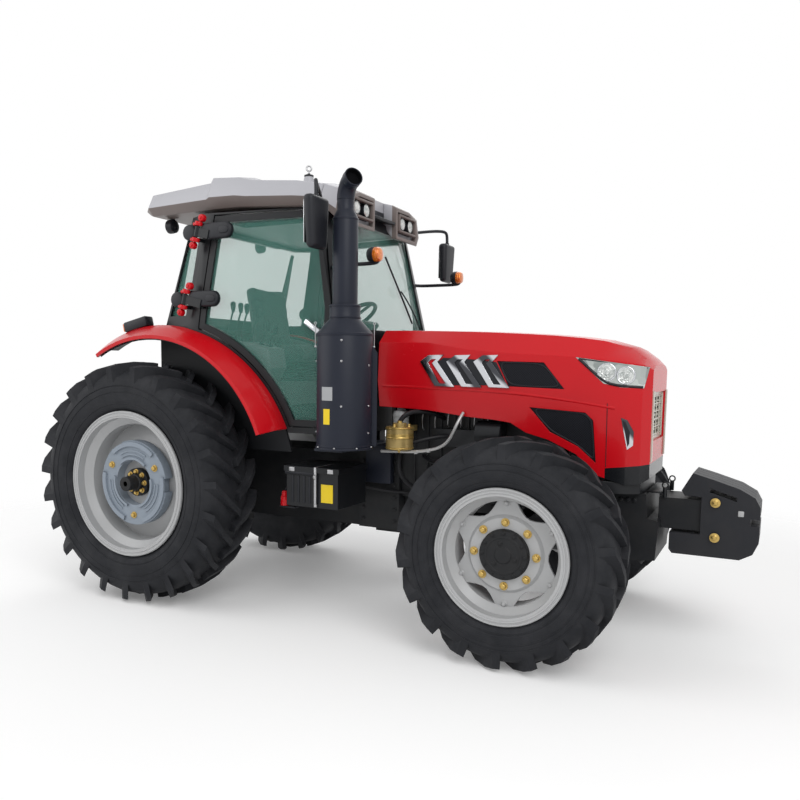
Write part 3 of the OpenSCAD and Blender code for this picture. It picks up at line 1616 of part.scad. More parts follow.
module hitch_frame() {
    cover_z = rear_case_z + rear_case_h;
    color("black") {
        both_sides() translate([link_pin_x, 0, link_pin_z]) {
            bar_y(link_boss_r, rear_case_half_w, link_y - seat_gap);
            bar_y(link_pin_r, rear_case_half_w, link_y + link_t);
        }
        difference() {
            box([lift_cover_rear_x, -lift_cover_half_w, cover_z],
                [lift_cover_rear_x + lift_cover_len, lift_cover_half_w, cover_z + lift_cover_h]);
            translate([arm_shaft_x, 0, arm_shaft_z])
                bar_y(arm_shaft_r + seat_gap, -lift_cover_half_w - overrun, lift_cover_half_w + overrun);
        }
        both_sides() difference() {
            union() {
                translate([case_rear_x - top_ear_out, 0, top_link_z]) bar_y(top_ear_r, top_ear_gap / 2,
                    top_ear_gap / 2 + top_ear_t);
                box([case_rear_x - top_ear_out, top_ear_gap / 2, top_link_z - top_ear_r],
                    [case_rear_x, top_ear_gap / 2 + top_ear_t, top_link_z + top_ear_r]);
            }
            translate([case_rear_x - top_ear_out, 0, top_link_z]) bar_y(top_link_bore_r, 0,
                top_ear_gap + top_ear_t);
        }
        translate([case_rear_x - pto_len, 0, pto_z]) bar_x(pto_r, 0, pto_len);
        box([case_rear_x - pto_guard_len, -pto_guard_half_w, pto_z + pto_guard_h],
            [case_rear_x, pto_guard_half_w, pto_z + pto_guard_h + pto_guard_t]);
        difference() {
            union() {
                box([-drawbar_len, -drawbar_w / 2, drawbar_z], [drawbar_front_x, drawbar_w / 2,
                    drawbar_z + drawbar_t]);
                translate([-drawbar_len, 0, drawbar_z]) cylinder(r = drawbar_eye_r, h = drawbar_t);
            }
            translate([-drawbar_len, 0, drawbar_z - overrun]) cylinder(r = drawbar_bore_r,
                h = drawbar_t + 2 * overrun);
        }
        for (x = [case_rear_x, drawbar_front_x - drawbar_hanger_t])
            box([x, -drawbar_hanger_half_w, drawbar_z], [x + drawbar_hanger_t, drawbar_hanger_half_w,
                rear_case_z]);
    }
}

module lift_arms() {
    mid_y = arm_y + arm_t / 2;
    color("black") translate([arm_shaft_x, 0, arm_shaft_z]) {
        bar_y(arm_shaft_r, -mid_y, mid_y);
        both_sides() {
            translate([0, arm_y + arm_t, 0]) rotate([90, 0, 0]) linear_extrude(arm_t) {
                circle(r = arm_eye_r + arm_shaft_r / 2);
                translate(rod_foot) circle(r = arm_eye_r);
                rotate(link_tilt) translate([-rod_share * link_len, -arm_h / 2])
                    square([rod_share * link_len, arm_h]);
            }
            translate([rod_foot[0], 0, rod_foot[1]]) bar_y(rod_pin_r, rod_y, mid_y);
        }
    }
}

module lift_rods() {
    top = [arm_shaft_x + rod_foot[0], arm_shaft_z + rod_foot[1]];
    foot = [link_pin_x + rod_foot[0], link_pin_z + rod_foot[1]];
    lean = atan((top[0] - foot[0]) / (top[1] - foot[1]));
    color("dimgray") both_sides() difference() {
        union() {
            for (e = [top, foot]) translate([e[0], 0, e[1]]) bar_y(rod_eye_r, rod_y, rod_y + rod_t);
            translate([foot[0], rod_y + rod_t / 2, foot[1]]) rotate([0, lean, 0]) cylinder(r = rod_r,
                h = norm(top - foot));
        }
        for (e = [top, foot]) translate([e[0], 0, e[1]]) bar_y(rod_pin_r + seat_gap, rod_y - overrun,
            rod_y + rod_t + overrun);
    }
}

// Places

module on_right_front() { translate([wheelbase, -front_wheel_y, front_axle_z]) children(); }
module on_right_rear() { translate([0, -rear_wheel_y, rear_axle_z]) children(); }
module on_right_kingpin() { translate([wheelbase, -kingpin_y, front_axle_z]) children(); }
module on_left() { mirror([0, 1, 0]) children(); }
module front_tyre() {
    color("black") tyre(front_tyre_r, front_tyre_w, front_lug_h, front_bead_r, front_rim_w, front_lugs);
}
module rear_tyre() {
    color("black") tyre(rear_tyre_r, rear_tyre_w, rear_lug_h, rear_bead_r, rear_rim_w, rear_lugs);
}

centred() front_support();
centred() front_weights();
centred() front_axle();
centred() engine();
centred() engine_fittings();
centred() bulkhead();
centred() radiator();
centred() transmission();
centred() hitch_frame();
centred() exhaust();
centred() battery_box();
centred() fuel_tank();
centred() left_steps();
centred() cab_tub();
centred() cab_frame();
centred() cab_glass();
centred() cab_roof();
centred() seat();
centred() dashboard();
centred() mirrors();
centred() lamps();
centred() fenders();
centred() hood();
centred() hood_panels();
centred() hood_vents();
centred() grille();
centred() headlamps();
centred() door_right();
centred() door_right_glass();
centred() on_left() door_right();  // door_left
centred() on_left() door_right_glass();  // door_left_glass
centred() on_right_kingpin() knuckle();  // knuckle_right
centred() on_left() on_right_kingpin() knuckle();  // knuckle_left
centred() tie_rod();
centred() on_right_front() front_wheel();  // front_wheel_right
centred() on_right_front() front_tyre();  // front_tyre_right
centred() on_left() on_right_front() front_wheel();  // front_wheel_left
centred() on_left() on_right_front() front_tyre();  // front_tyre_left
centred() on_right_rear() rear_wheel();  // rear_wheel_right
centred() on_right_rear() rear_weight();  // rear_weight_right
centred() on_right_rear() rear_tyre();  // rear_tyre_right
centred() on_left() on_right_rear() rear_wheel();  // rear_wheel_left
centred() on_left() on_right_rear() rear_weight();  // rear_weight_left
centred() on_left() on_right_rear() rear_tyre();  // rear_tyre_left
centred() lower_links();
centred() lift_arms();
centred() lift_rods();
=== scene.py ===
"""Farm tractor: finishes, trim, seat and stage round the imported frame."""
import math

import bmesh
import bpy
from bpy.props import FloatProperty, FloatVectorProperty, IntProperty, PointerProperty
from mathutils import Matrix, Vector


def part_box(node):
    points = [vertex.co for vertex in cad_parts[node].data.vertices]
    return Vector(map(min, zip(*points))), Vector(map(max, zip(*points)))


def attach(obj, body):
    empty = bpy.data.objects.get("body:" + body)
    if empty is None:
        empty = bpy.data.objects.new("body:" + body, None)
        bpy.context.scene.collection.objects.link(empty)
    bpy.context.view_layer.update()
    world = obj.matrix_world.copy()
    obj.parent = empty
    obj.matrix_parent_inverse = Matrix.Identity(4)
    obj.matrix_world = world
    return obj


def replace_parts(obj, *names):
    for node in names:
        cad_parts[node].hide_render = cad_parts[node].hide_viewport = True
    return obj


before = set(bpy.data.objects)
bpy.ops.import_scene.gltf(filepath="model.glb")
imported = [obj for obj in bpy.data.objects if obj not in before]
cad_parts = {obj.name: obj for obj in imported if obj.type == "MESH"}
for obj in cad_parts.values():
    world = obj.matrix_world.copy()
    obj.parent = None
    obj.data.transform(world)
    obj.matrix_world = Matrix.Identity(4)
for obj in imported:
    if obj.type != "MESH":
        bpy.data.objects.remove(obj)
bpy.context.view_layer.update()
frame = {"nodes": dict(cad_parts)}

bl_info = {
    "name": "Farm tractor looks",
    "version": (1, 0, 0),
    "blender": (4, 5, 0),
    "location": "View3D > Sidebar > Tractor",
    "description": "Finishes, trim, seat and stage for the packed farm tractor",
    "category": "Object",
}

SIDES = {"right": -1, "left": 1}
UP, AHEAD = Vector((0, 0, 1)), Vector((1, 0, 0))
EDGE_ROUND = 0.004
SHARP_ANGLE = 32.0
FULL_TURN = 2 * math.pi
MERGE = 1e-5


def middle(node):
    """Middle of a CAD node's box."""
    low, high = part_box(node)
    return Vector([(a + b) / 2 for a, b in zip(low, high)])


REAR_HUB = middle("rear_wheel_right")
FRONT_HUB = middle("front_wheel_right")


def at(x, y, z):
    """A point measured from the rear axle, the middle plane and the ground, in metres."""
    return Vector((REAR_HUB.x + x, y, z))


# Places that several pieces share
STACK = at(1.65, -0.89, 0)
BEACON = at(1.09, -0.43, 0)
BEACON_FOOT = 3.028
FENDER_AXIS = at(0.06, 0, 0.885)
HOOD_REAR, HOOD_LENGTH = 1.64, 1.78
HOOD_LOW, HOOD_HEIGHT = 1.0, 0.962

# The camera that was fitted to the photo, in pixels and radians
PHOTO_SIZE = 800.0
PHOTO_FOCUS = 781.4
PHOTO_CENTRE = (377.6, 448.1)
PHOTO_YAW, PHOTO_PITCH, PHOTO_ROLL = -0.478, -0.104, 0.011
SENSOR = 36.0


# Sizes and colours a user would change


def length_property(label, text, value):
    """A length that the panel lists."""
    return FloatProperty(name=label, description=text, default=value, unit="LENGTH")


class TractorSizes(bpy.types.PropertyGroup):
    """Sizes of the trim."""

    hub_bolt: length_property("Hub bolt", "Half width of a rear hub nut", 0.0135)
    hub_bolt_ring: length_property("Hub bolt ring", "Radius of the ring of rear hub nuts", 0.077)
    hub_bolts: IntProperty(name="Hub bolts", description="Nuts on a rear hub", default=8, min=3)
    wheel_nut: length_property("Wheel nut", "Half width of a front wheel nut", 0.017)
    wheel_nut_ring: length_property("Wheel nut ring", "Radius of the ring of front wheel nuts", 0.184)
    hinge_pad_len: length_property("Hinge pad length", "Length of a door hinge cover", 0.27)
    hinge_pad_high: length_property("Hinge pad height", "Height of a door hinge cover", 0.11)
    star_reach: length_property("Star reach", "Reach of the front disc's arms", 0.338)
    star_dip: length_property("Star dip", "Depth of the hollows between the arms", 0.094)
    hose: length_property("Hose", "Radius of the engine hoses", 0.016)
    seat_swell: length_property("Seat swell", "Most that a seat pad bulges", 0.024)


def colour_property(label, text, value):
    """A colour that the panel lists."""
    return FloatVectorProperty(
        name=label, description=text, default=value, subtype="COLOR", size=3, min=0.0, max=1.0)


class TractorColours(bpy.types.PropertyGroup):
    """Colours of the finishes."""

    paint: colour_property("Paint", "Hood and fenders", (0.58, 0.004, 0.010))
    roof: colour_property("Roof", "Roof shell", (0.44, 0.44, 0.47))
    pod: colour_property("Pods", "Roof underside and lamp pods", (0.17, 0.14, 0.13))
    slate: colour_property("Stack", "Exhaust canister and pipe", (0.016, 0.019, 0.030))
    frame: colour_property("Frame", "Cab posts and chassis", (0.007, 0.008, 0.010))
    glass: colour_property("Glass", "Tint of the panes", (0.16, 0.42, 0.35))
    rubber: colour_property("Rubber", "Tyres", (0.016, 0.017, 0.020))
    rim: colour_property("Rims", "Wheel rims", (0.42, 0.425, 0.43))
    weight: colour_property("Wheel weights", "Rear wheel weights", (0.25, 0.29, 0.34))
    zinc: colour_property("Zinc", "Yellow plated bolts and filter", (0.52, 0.36, 0.11))
    amber: colour_property("Amber", "Signal lamps", (0.90, 0.25, 0.01))
    seat: colour_property("Seat", "Seat cloth", (0.030, 0.032, 0.036))
    label: colour_property("Label", "Blank labels", (0.80, 0.58, 0.02))


def sizes():
    """The sizes set in the panel."""
    return bpy.context.scene.tractor_sizes


def colours():
    """The colours set in the panel."""
    return bpy.context.scene.tractor_colours


# Shader building


def add_node(tree, kind, inputs=None, **settings):
    """A shader node with its settings and plain input values."""
    made = tree.nodes.new(kind)
    for key, value in settings.items():
        setattr(made, key, value)
    for key, value in (inputs or {}).items():
        if isinstance(value, bpy.types.NodeSocket):
            tree.links.new(value, made.inputs[key])
        else:
            made.inputs[key].default_value = value
    return made


def calc(tree, operation, first, second=0.0, clamp=False):
    """A Math node on sockets or plain numbers."""
    made = add_node(tree, "ShaderNodeMath", {0: first, 1: second}, operation=operation, use_clamp=clamp)
    return made.outputs[0]


def split(tree, vector):
    """The three parts of a vector."""
    return add_node(tree, "ShaderNodeSeparateXYZ", {"Vector": vector}).outputs


def facing_up(tree):
    """How far a surface faces upwards."""
    return split(tree, add_node(tree, "ShaderNodeNewGeometry").outputs["Normal"])[2]


def mix(tree, mask, first, second):
    """A colour that a mask leads from the first to the second."""
    return add_node(tree, "ShaderNodeMix", {0: mask, 6: first, 7: second}, data_type="RGBA").outputs[2]


def new_group(name, inputs, outputs):
    """An empty shader group with its sockets."""
    tree = bpy.data.node_groups.new(name, "ShaderNodeTree")
    for label, kind, value in inputs:
        socket = tree.interface.new_socket(label, in_out="INPUT", socket_type=kind)
        if value is not None:
            socket.default_value = value
    for label, kind in outputs:
        tree.interface.new_socket(label, in_out="OUTPUT", socket_type=kind)
    return tree, tree.nodes.new("NodeGroupInput").outputs, tree.nodes.new("NodeGroupOutput").inputs


def surface_detail_group():
    """Mottled colour, uneven gloss and fine grain of a made surface."""
    tree, given, result = new_group(
        "surface_detail",
        [("Vector", "NodeSocketVector", None), ("Colour", "NodeSocketColor", (0.5, 0.5, 0.5, 1)),
         ("Colour Shift", "NodeSocketFloat", 0.1), ("Roughness", "NodeSocketFloat", 0.5),
         ("Roughness Shift", "NodeSocketFloat", 0.1), ("Scale", "NodeSocketFloat", 8.0)],
        [("Colour", "NodeSocketColor"), ("Roughness", "NodeSocketFloat"), ("Height", "NodeSocketFloat")])
    broad = add_node(tree, "ShaderNodeTexNoise",
                     {"Vector": given["Vector"], "Scale": given["Scale"], "Detail": 3.0})
    fine = add_node(tree, "ShaderNodeTexNoise",
                    {"Vector": given["Vector"], "Scale": calc(tree, "MULTIPLY", given["Scale"], 14.0),
                     "Detail": 4.0, "Roughness": 0.6})
    both = calc(tree, "ADD", calc(tree, "MULTIPLY", broad.outputs[0], 0.65),
                calc(tree, "MULTIPLY", fine.outputs[0], 0.35))
    centred = calc(tree, "SUBTRACT", both, 0.5)
    value = calc(tree, "MULTIPLY_ADD", centred, given["Colour Shift"])
    value.node.inputs[2].default_value = 1.0
    shade = add_node(tree, "ShaderNodeHueSaturation", {"Value": value, "Color": given["Colour"]})
    rough = calc(tree, "MULTIPLY_ADD", centred, given["Roughness Shift"], clamp=True)
    tree.links.new(given["Roughness"], rough.node.inputs[2])
    tree.links.new(shade.outputs[0], result["Colour"])
    tree.links.new(rough, result["Roughness"])
    tree.links.new(fine.outputs[0], result["Height"])
    return tree


def dust_film_group():
    """Pale dust that settles on upward faces and in patches."""
    tree, given, result = new_group(
        "dust_film",
        [("Vector", "NodeSocketVector", None), ("Colour", "NodeSocketColor", (0.5, 0.5, 0.5, 1)),
         ("Dust", "NodeSocketColor", (0.24, 0.21, 0.17, 1)), ("Amount", "NodeSocketFloat", 0.2)],
        [("Colour", "NodeSocketColor")])
    patches = add_node(tree, "ShaderNodeTexNoise",
                       {"Vector": given["Vector"], "Scale": 5.5, "Detail": 6.0, "Roughness": 0.62})
    spread = add_node(tree, "ShaderNodeMapRange",
                      {"Value": patches.outputs[0], "From Min": 0.38, "From Max": 0.7})
    facing = calc(tree, "MULTIPLY_ADD", facing_up(tree), 0.35, clamp=True)
    facing.node.inputs[2].default_value = 0.6
    mask = calc(tree, "MULTIPLY", calc(tree, "MULTIPLY", spread.outputs[0], facing), given["Amount"], True)
    tree.links.new(mix(tree, mask, given["Colour"], given["Dust"]), result["Colour"])
    return tree


def ring_ridges_group():
    """Fine moulded rings round a wheel's axle, between two radii."""
    tree, given, result = new_group(
        "ring_ridges",
        [("Vector", "NodeSocketVector", None), ("Frequency", "NodeSocketFloat", 300.0),
         ("Low", "NodeSocketFloat", 0.5), ("High", "NodeSocketFloat", 0.7)],
        [("Height", "NodeSocketFloat")])
    parts = split(tree, given["Vector"])
    reach = calc(tree, "SQRT", calc(tree, "ADD", calc(tree, "MULTIPLY", parts[0], parts[0]),
                                    calc(tree, "MULTIPLY", parts[2], parts[2])))
    inside = calc(tree, "MULTIPLY", calc(tree, "GREATER_THAN", reach, given["Low"]),
                  calc(tree, "LESS_THAN", reach, given["High"]))
    wave = calc(tree, "SINE", calc(tree, "MULTIPLY", reach, given["Frequency"]))
    tree.links.new(calc(tree, "MULTIPLY", wave, inside), result["Height"])
    return tree


def punched_holes_group():
    """A regular grid of punched holes on a side panel."""
    tree, given, result = new_group(
        "punched_holes",
        [("Vector", "NodeSocketVector", None), ("Pitch", "NodeSocketFloat", 90.0),
         ("Size", "NodeSocketFloat", 0.34)],
        [("Mask", "NodeSocketFloat"), ("Height", "NodeSocketFloat")])
    flat = add_node(tree, "ShaderNodeMapping",
                    {"Vector": given["Vector"], "Scale": (1.0, 0.0, 1.0), "Rotation": (0.0, 0.785, 0.0)})
    cells = add_node(tree, "ShaderNodeTexVoronoi",
                     {"Vector": flat.outputs[0], "Scale": given["Pitch"], "Randomness": 0.0})
    hole = calc(tree, "LESS_THAN", cells.outputs["Distance"], given["Size"])
    tree.links.new(hole, result["Mask"])
    tree.links.new(calc(tree, "SUBTRACT", 1.0, hole), result["Height"])
    return tree


GROUP_MAKERS = {
    "surface_detail": surface_detail_group,
    "dust_film": dust_film_group,
    "ring_ridges": ring_ridges_group,
    "punched_holes": punched_holes_group,
}


def use_group(tree, name, inputs):
    """A shared group in a material, made on first use."""
    group = bpy.data.node_groups.get(name) or GROUP_MAKERS[name]()
    return add_node(tree, "ShaderNodeGroup", inputs, node_tree=group).outputs


def surface_detail(tree, place, colour, shift, rough, rough_shift, scale):
    """The shared surface detail with its values."""
    return use_group(tree, "surface_detail", {
        "Vector": place, "Colour": (*colour, 1), "Colour Shift": shift, "Roughness": rough,
        "Roughness Shift": rough_shift, "Scale": scale})


def link_looks(tree, shader, colour, rough):
    """Leads a colour and a roughness into the shader."""
    tree.links.new(colour, shader.inputs["Base Color"])
    tree.links.new(rough, shader.inputs["Roughness"])


def start_material(name):
    """An empty node material, its Principled shader and Object coordinates."""
    made = bpy.data.materials.new(name)
    made.use_nodes = True
    tree = made.node_tree
    tree.nodes.clear()
    shader = add_node(tree, "ShaderNodeBsdfPrincipled")
    out = add_node(tree, "ShaderNodeOutputMaterial", {"Surface": shader.outputs[0]})
    out.is_active_output = True
    return made, tree, shader, add_node(tree, "ShaderNodeTexCoord").outputs["Object"]


def add_bump(tree, shader, height, strength, depth=0.002):
    """Relief on the shader from a height, over edges that look slightly rounded."""
    rounded = add_node(tree, "ShaderNodeBevel", {"Radius": EDGE_ROUND}, samples=4)
    made = add_node(tree, "ShaderNodeBump", {"Height": height, "Strength": strength, "Distance": depth,
                                             "Normal": rounded.outputs[0]})
    tree.links.new(made.outputs[0], shader.inputs["Normal"])


def made_surface(name, colour, rough, metal=0.0, shift=0.14, rough_shift=0.12, scale=7.0, bump=0.06,
                 coat=0.0, dust=0.0, spec=0.3, zone=None):
    """Paint, plastic, casting or metal with mottling, uneven gloss, grain and some dust.

    A zone is a maker of a mask and the second colour that the mask brings in."""
    made, tree, shader, place = start_material(name)
    detail = surface_detail(tree, place, colour, shift, rough, rough_shift, scale)
    tint = detail["Colour"]
    if dust:
        tint = use_group(tree, "dust_film", {"Vector": place, "Colour": tint, "Amount": dust})["Colour"]
    if zone:
        mask, second = zone(tree, place)
        tint = mix(tree, mask, tint, (*second, 1))
    link_looks(tree, shader, tint, detail["Roughness"])
    shader.inputs["Specular IOR Level"].default_value = spec
    shader.inputs["Metallic"].default_value = metal
    shader.inputs["Coat Weight"].default_value = coat
    shader.inputs["Coat Roughness"].default_value = 0.06
    add_bump(tree, shader, detail["Height"], bump)
    return made


def below_nose(tree, place):
    """Black band along the lower edge of the hood's nose."""
    parts = split(tree, place)
    start = at(3.175, 0, 0).x
    line = calc(tree, "MULTIPLY_ADD", calc(tree, "SUBTRACT", parts[0], start), 0.125)
    line.node.inputs[2].default_value = 1.117
    low = calc(tree, "LESS_THAN", parts[2], line)
    return calc(tree, "MULTIPLY", low, calc(tree, "GREATER_THAN", parts[0], start)), colours().frame


def ahead_of_filter(tree, place):
    """Everything on the engine's side but the plated filter."""
    return calc(tree, "GREATER_THAN", split(tree, place)[0], at(1.945, 0, 0).x), (0.014, 0.015, 0.017)


def below_sill(tree, place):
    """The cab's outside, below the door sill and in the wheel arches."""
    parts = split(tree, place)
    arch = calc(tree, "GREATER_THAN", calc(tree, "ABSOLUTE", parts[1], 0.0), 0.675)
    return calc(tree, "MAXIMUM", calc(tree, "LESS_THAN", parts[2], 1.42), arch), colours().frame


def chrome_bands(tree, place):
    """Dark reflections lying across the bright trim."""
    wave = add_node(tree, "ShaderNodeTexWave",
                    {"Vector": place, "Scale": 2.4, "Distortion": 2.0, "Detail": 1.0}, wave_type="BANDS",
                    bands_direction="DIAGONAL")
    mask = add_node(tree, "ShaderNodeMapRange",
                    {"Value": wave.outputs["Fac"], "From Min": 0.5, "From Max": 0.85})
    return mask.outputs[0], (0.07, 0.072, 0.08)


def two_tone_roof(name):
    """Moulded roof shell, grey above, brown below and at its front."""
    made, tree, shader, place = start_material(name)
    detail = surface_detail(tree, place, colours().roof, 0.12, 0.42, 0.15, 5.0)
    below = add_node(tree, "ShaderNodeMapRange",
                     {"Value": facing_up(tree), "From Min": -0.10, "From Max": -0.22}).outputs[0]
    front = calc(tree, "GREATER_THAN", split(tree, place)[0], at(1.440, 0, 0).x)
    brown = mix(tree, calc(tree, "MAXIMUM", below, front), detail["Colour"], (*colours().pod, 1))
    link_looks(tree, shader, brown, detail["Roughness"])
    add_bump(tree, shader, detail["Height"], 0.08)
    return made


def tyre_rubber(name, hub, low, high):
    """Dusty moulded rubber with rings on the wall."""
    made, tree, shader, place = start_material(name)
    centred = add_node(tree, "ShaderNodeMapping", {"Vector": place, "Location": -hub}).outputs[0]
    detail = surface_detail(tree, place, colours().rubber, 0.5, 0.62, 0.25, 10.0)
    dusty = use_group(tree, "dust_film", {
        "Vector": place, "Colour": detail["Colour"], "Amount": 0.16, "Dust": (0.16, 0.16, 0.17, 1)})
    rings = use_group(tree, "ring_ridges", {
        "Vector": centred, "Frequency": 620.0, "Low": low, "High": high})
    link_looks(tree, shader, dusty["Colour"], detail["Roughness"])
    shader.inputs["Specular IOR Level"].default_value = 0.14
    grain = calc(tree, "MULTIPLY_ADD", rings["Height"], 0.5)
    tree.links.new(detail["Height"], grain.node.inputs[2])
    add_bump(tree, shader, grain, 0.25, 0.004)
    return made


def punched_panel(name):
    """Black sheet with a grid of punched holes, coloured near black as painted shade seen through them."""
    made, tree, shader, place = start_material(name)
    holes = use_group(tree, "punched_holes", {"Vector": place, "Pitch": 95.0, "Size": 0.33})
    detail = surface_detail(tree, place, (0.014, 0.015, 0.020), 0.3, 0.45, 0.2, 8.0)
    # painted shade: the holes are coloured near black for the darkness behind them
    dark = mix(tree, holes["Mask"], detail["Colour"], (0.003, 0.003, 0.004, 1))
    link_looks(tree, shader, dark, detail["Roughness"])
    shader.inputs["Specular IOR Level"].default_value = 0.12
    add_bump(tree, shader, holes["Height"], 0.5, 0.003)
    return made


def lamp_facets_painted_glints(name, bright, dim, scale):
    """Silvered lamp bowl behind a clear cover, broken into facets whose bright and dim colours are painted
    glints.
    """
    made, tree, shader, place = start_material(name)
    cells = add_node(tree, "ShaderNodeTexVoronoi", {"Vector": place, "Scale": scale, "Randomness": 0.85})
    tone = add_node(tree, "ShaderNodeSeparateColor", {"Color": cells.outputs["Color"]}).outputs[0]
    rough = add_node(tree, "ShaderNodeMapRange", {"Value": tone, "To Min": 0.1, "To Max": 0.3})
    # painted glints: each facet takes a bright or a dim colour in the base colour
    link_looks(tree, shader, mix(tree, tone, (*bright, 1), (*dim, 1)), rough.outputs[0])
    shader.inputs["Metallic"].default_value = 0.35
    shader.inputs["Coat Weight"].default_value = 0.8
    shader.inputs["Coat Roughness"].default_value = 0.03
    add_bump(tree, shader, cells.outputs["Distance"], 0.35, 0.01)
    return made


def clear_pane(name, colour, alpha, rough=0.03):
    """Tinted pane with faint streaks, seen through."""
    made, tree, shader, place = start_material(name)
    detail = surface_detail(tree, place, colour, 0.3, rough, 0.05, 1.5)
    link_looks(tree, shader, detail["Colour"], detail["Roughness"])
    shader.inputs["Alpha"].default_value = alpha
    shader.inputs["Specular IOR Level"].default_value = 0.35
    return made


def woven_cloth(name):
    """Seat cloth with a close weave and a soft sheen."""
    made, tree, shader, place = start_material(name)
    threads = []
    for axis in ("X", "Y", "Z"):
        wave = add_node(tree, "ShaderNodeTexWave", {"Vector": place, "Scale": 95.0, "Distortion": 0.4},
                        wave_type="BANDS", bands_direction=axis)
        threads.append(wave.outputs["Fac"])
    weave = calc(tree, "MAXIMUM", calc(tree, "MULTIPLY", threads[0], threads[1]), threads[2])
    detail = surface_detail(tree, place, colours().seat, 0.5, 0.85, 0.1, 12.0)
    threaded = mix(tree, calc(tree, "MULTIPLY", weave, 0.35), detail["Colour"], (0.09, 0.095, 0.105, 1))
    link_looks(tree, shader, threaded, detail["Roughness"])
    shader.inputs["Sheen Weight"].default_value = 0.25
    add_bump(tree, shader, weave, 0.3, 0.001)
    return made


def finish(name):
    """The named finish, made on first use, apart from the frame's own materials."""
    label = f"{name}_finish"
    if label in bpy.data.materials:
        return bpy.data.materials[label]
    c = colours()
    red = dict(colour=c.paint, rough=0.26, shift=0.1, rough_shift=0.08, scale=3.0, bump=0.02, coat=0.14,
               spec=0.25)
    grey = dict(colour=(0.16, 0.165, 0.17), rough=0.55, shift=0.25, scale=8.0, bump=0.14)
    chrome = dict(metal=1.0, shift=0.08, rough_shift=0.06, scale=9.0, bump=0.01, spec=0.5)
    plain = {
        "gloss_red": red,
        "hood_red": dict(red, zone=below_nose),
        "satin_black": dict(colour=c.frame, rough=0.36, shift=0.4, scale=6.0, bump=0.05, dust=0.02),
        "cast_black": dict(colour=(0.010, 0.011, 0.013), rough=0.5, shift=0.5, rough_shift=0.2, scale=9.0,
                           bump=0.3, dust=0.05, spec=0.25),
        "stack_slate": dict(colour=c.slate, rough=0.4, shift=0.25, scale=6.0, bump=0.05, dust=0.01, spec=0.2),
        # real soot plus the painted shade of a deep pipe, near black
        "soot": dict(colour=(0.003, 0.003, 0.004), rough=0.9, shift=0.6, scale=14.0, bump=0.2, spec=0.1),
        "black_plastic": dict(colour=(0.011, 0.012, 0.016), rough=0.44, shift=0.3, scale=8.0, bump=0.14),
        "trim_grey": grey,
        "tub_grey": dict(grey, zone=below_sill),
        "pale_lining": dict(colour=(0.30, 0.30, 0.29), rough=0.7, shift=0.2, scale=10.0, bump=0.2),
        "pod_brown": dict(colour=c.pod, rough=0.45, shift=0.2, scale=7.0, bump=0.1),
        "rim_silver": dict(colour=c.rim, rough=0.4, metal=0.1, shift=0.14, scale=6.0, bump=0.04, dust=0.08,
                           spec=0.5),
        "weight_blue": dict(colour=c.weight, rough=0.48, shift=0.22, scale=9.0, bump=0.12),
        "weight_black": dict(colour=(0.012, 0.013, 0.017), rough=0.48, shift=0.4, scale=8.0, bump=0.25,
                             dust=0.04),
        "yellow_zinc": dict(colour=c.zinc, rough=0.32, metal=0.7, shift=0.5, rough_shift=0.3, scale=16.0,
                            bump=0.05, spec=0.5),
        "side_fittings": dict(colour=(0.40, 0.29, 0.11), rough=0.32, metal=0.45, shift=0.4, rough_shift=0.3,
                              scale=14.0, bump=0.08, zone=ahead_of_filter, spec=0.4),
        "bare_steel": dict(colour=(0.42, 0.42, 0.43), rough=0.34, metal=0.9, shift=0.3, rough_shift=0.25,
                           scale=14.0, bump=0.06, spec=0.5),
        "bright_chrome": dict(chrome, colour=(0.62, 0.63, 0.66), rough=0.08),
        "chevron_chrome": dict(chrome, colour=(0.60, 0.61, 0.64), rough=0.12, zone=chrome_bands),
        "pale_trim": dict(colour=(0.56, 0.54, 0.46), rough=0.3, metal=0.1, shift=0.15, scale=8.0, bump=0.04,
                          coat=0.2),
        "hose_silver": dict(colour=(0.48, 0.48, 0.48), rough=0.4, metal=0.5, shift=0.3, scale=30.0, bump=0.2),
        "hose_black": dict(colour=(0.009, 0.009, 0.011), rough=0.5, shift=0.4, scale=25.0, bump=0.15),
        "blank_yellow": dict(colour=c.label, rough=0.35, shift=0.15, scale=10.0, bump=0.03),
        "blank_grey": dict(colour=(0.36, 0.37, 0.38), rough=0.35, shift=0.15, scale=10.0, bump=0.03),
        "engine_grey": dict(colour=(0.016, 0.017, 0.019), rough=0.5, metal=0.1, shift=0.5, rough_shift=0.25,
                            scale=9.0, bump=0.25, dust=0.04),
        "mirror_glass": dict(colour=(0.75, 0.77, 0.78), rough=0.04, metal=1.0, shift=0.04, rough_shift=0.03,
                             scale=3.0, bump=0.0, spec=0.5),
    }
    if name in plain:
        return made_surface(label, **plain[name])
    makers = {
        # The lamp finishes carry painted glints in their facet colours
        "amber_lens": lambda: lamp_facets_painted_glints(label, c.amber, (0.55, 0.10, 0.005), 90.0),
        "red_lens": lambda: lamp_facets_painted_glints(label, (0.60, 0.01, 0.01), (0.30, 0.004, 0.004), 110.0),
        "clear_lens": lambda: lamp_facets_painted_glints(label, (0.74, 0.76, 0.74), (0.36, 0.39, 0.38), 70.0),
        "headlamp": lambda: lamp_facets_painted_glints(label, (0.66, 0.70, 0.67), (0.20, 0.23, 0.22), 15.0),
        "punched_black": lambda: punched_panel(label),
        "green_glass": lambda: clear_pane(label, c.glass, 0.20),
        "seat_cloth": lambda: woven_cloth(label),
        "two_tone_roof": lambda: two_tone_roof(label),
        "rear_rubber": lambda: tyre_rubber(label, REAR_HUB, 0.53, 0.70),
        "front_rubber": lambda: tyre_rubber(label, FRONT_HUB, 0.40, 0.53),
    }
    return makers[name]()


# Mesh building


def turned_to(axis):
    """Rotation that carries local Z onto an axis."""
    return UP.rotation_difference(Vector(axis).normalized()).to_matrix().to_4x4()


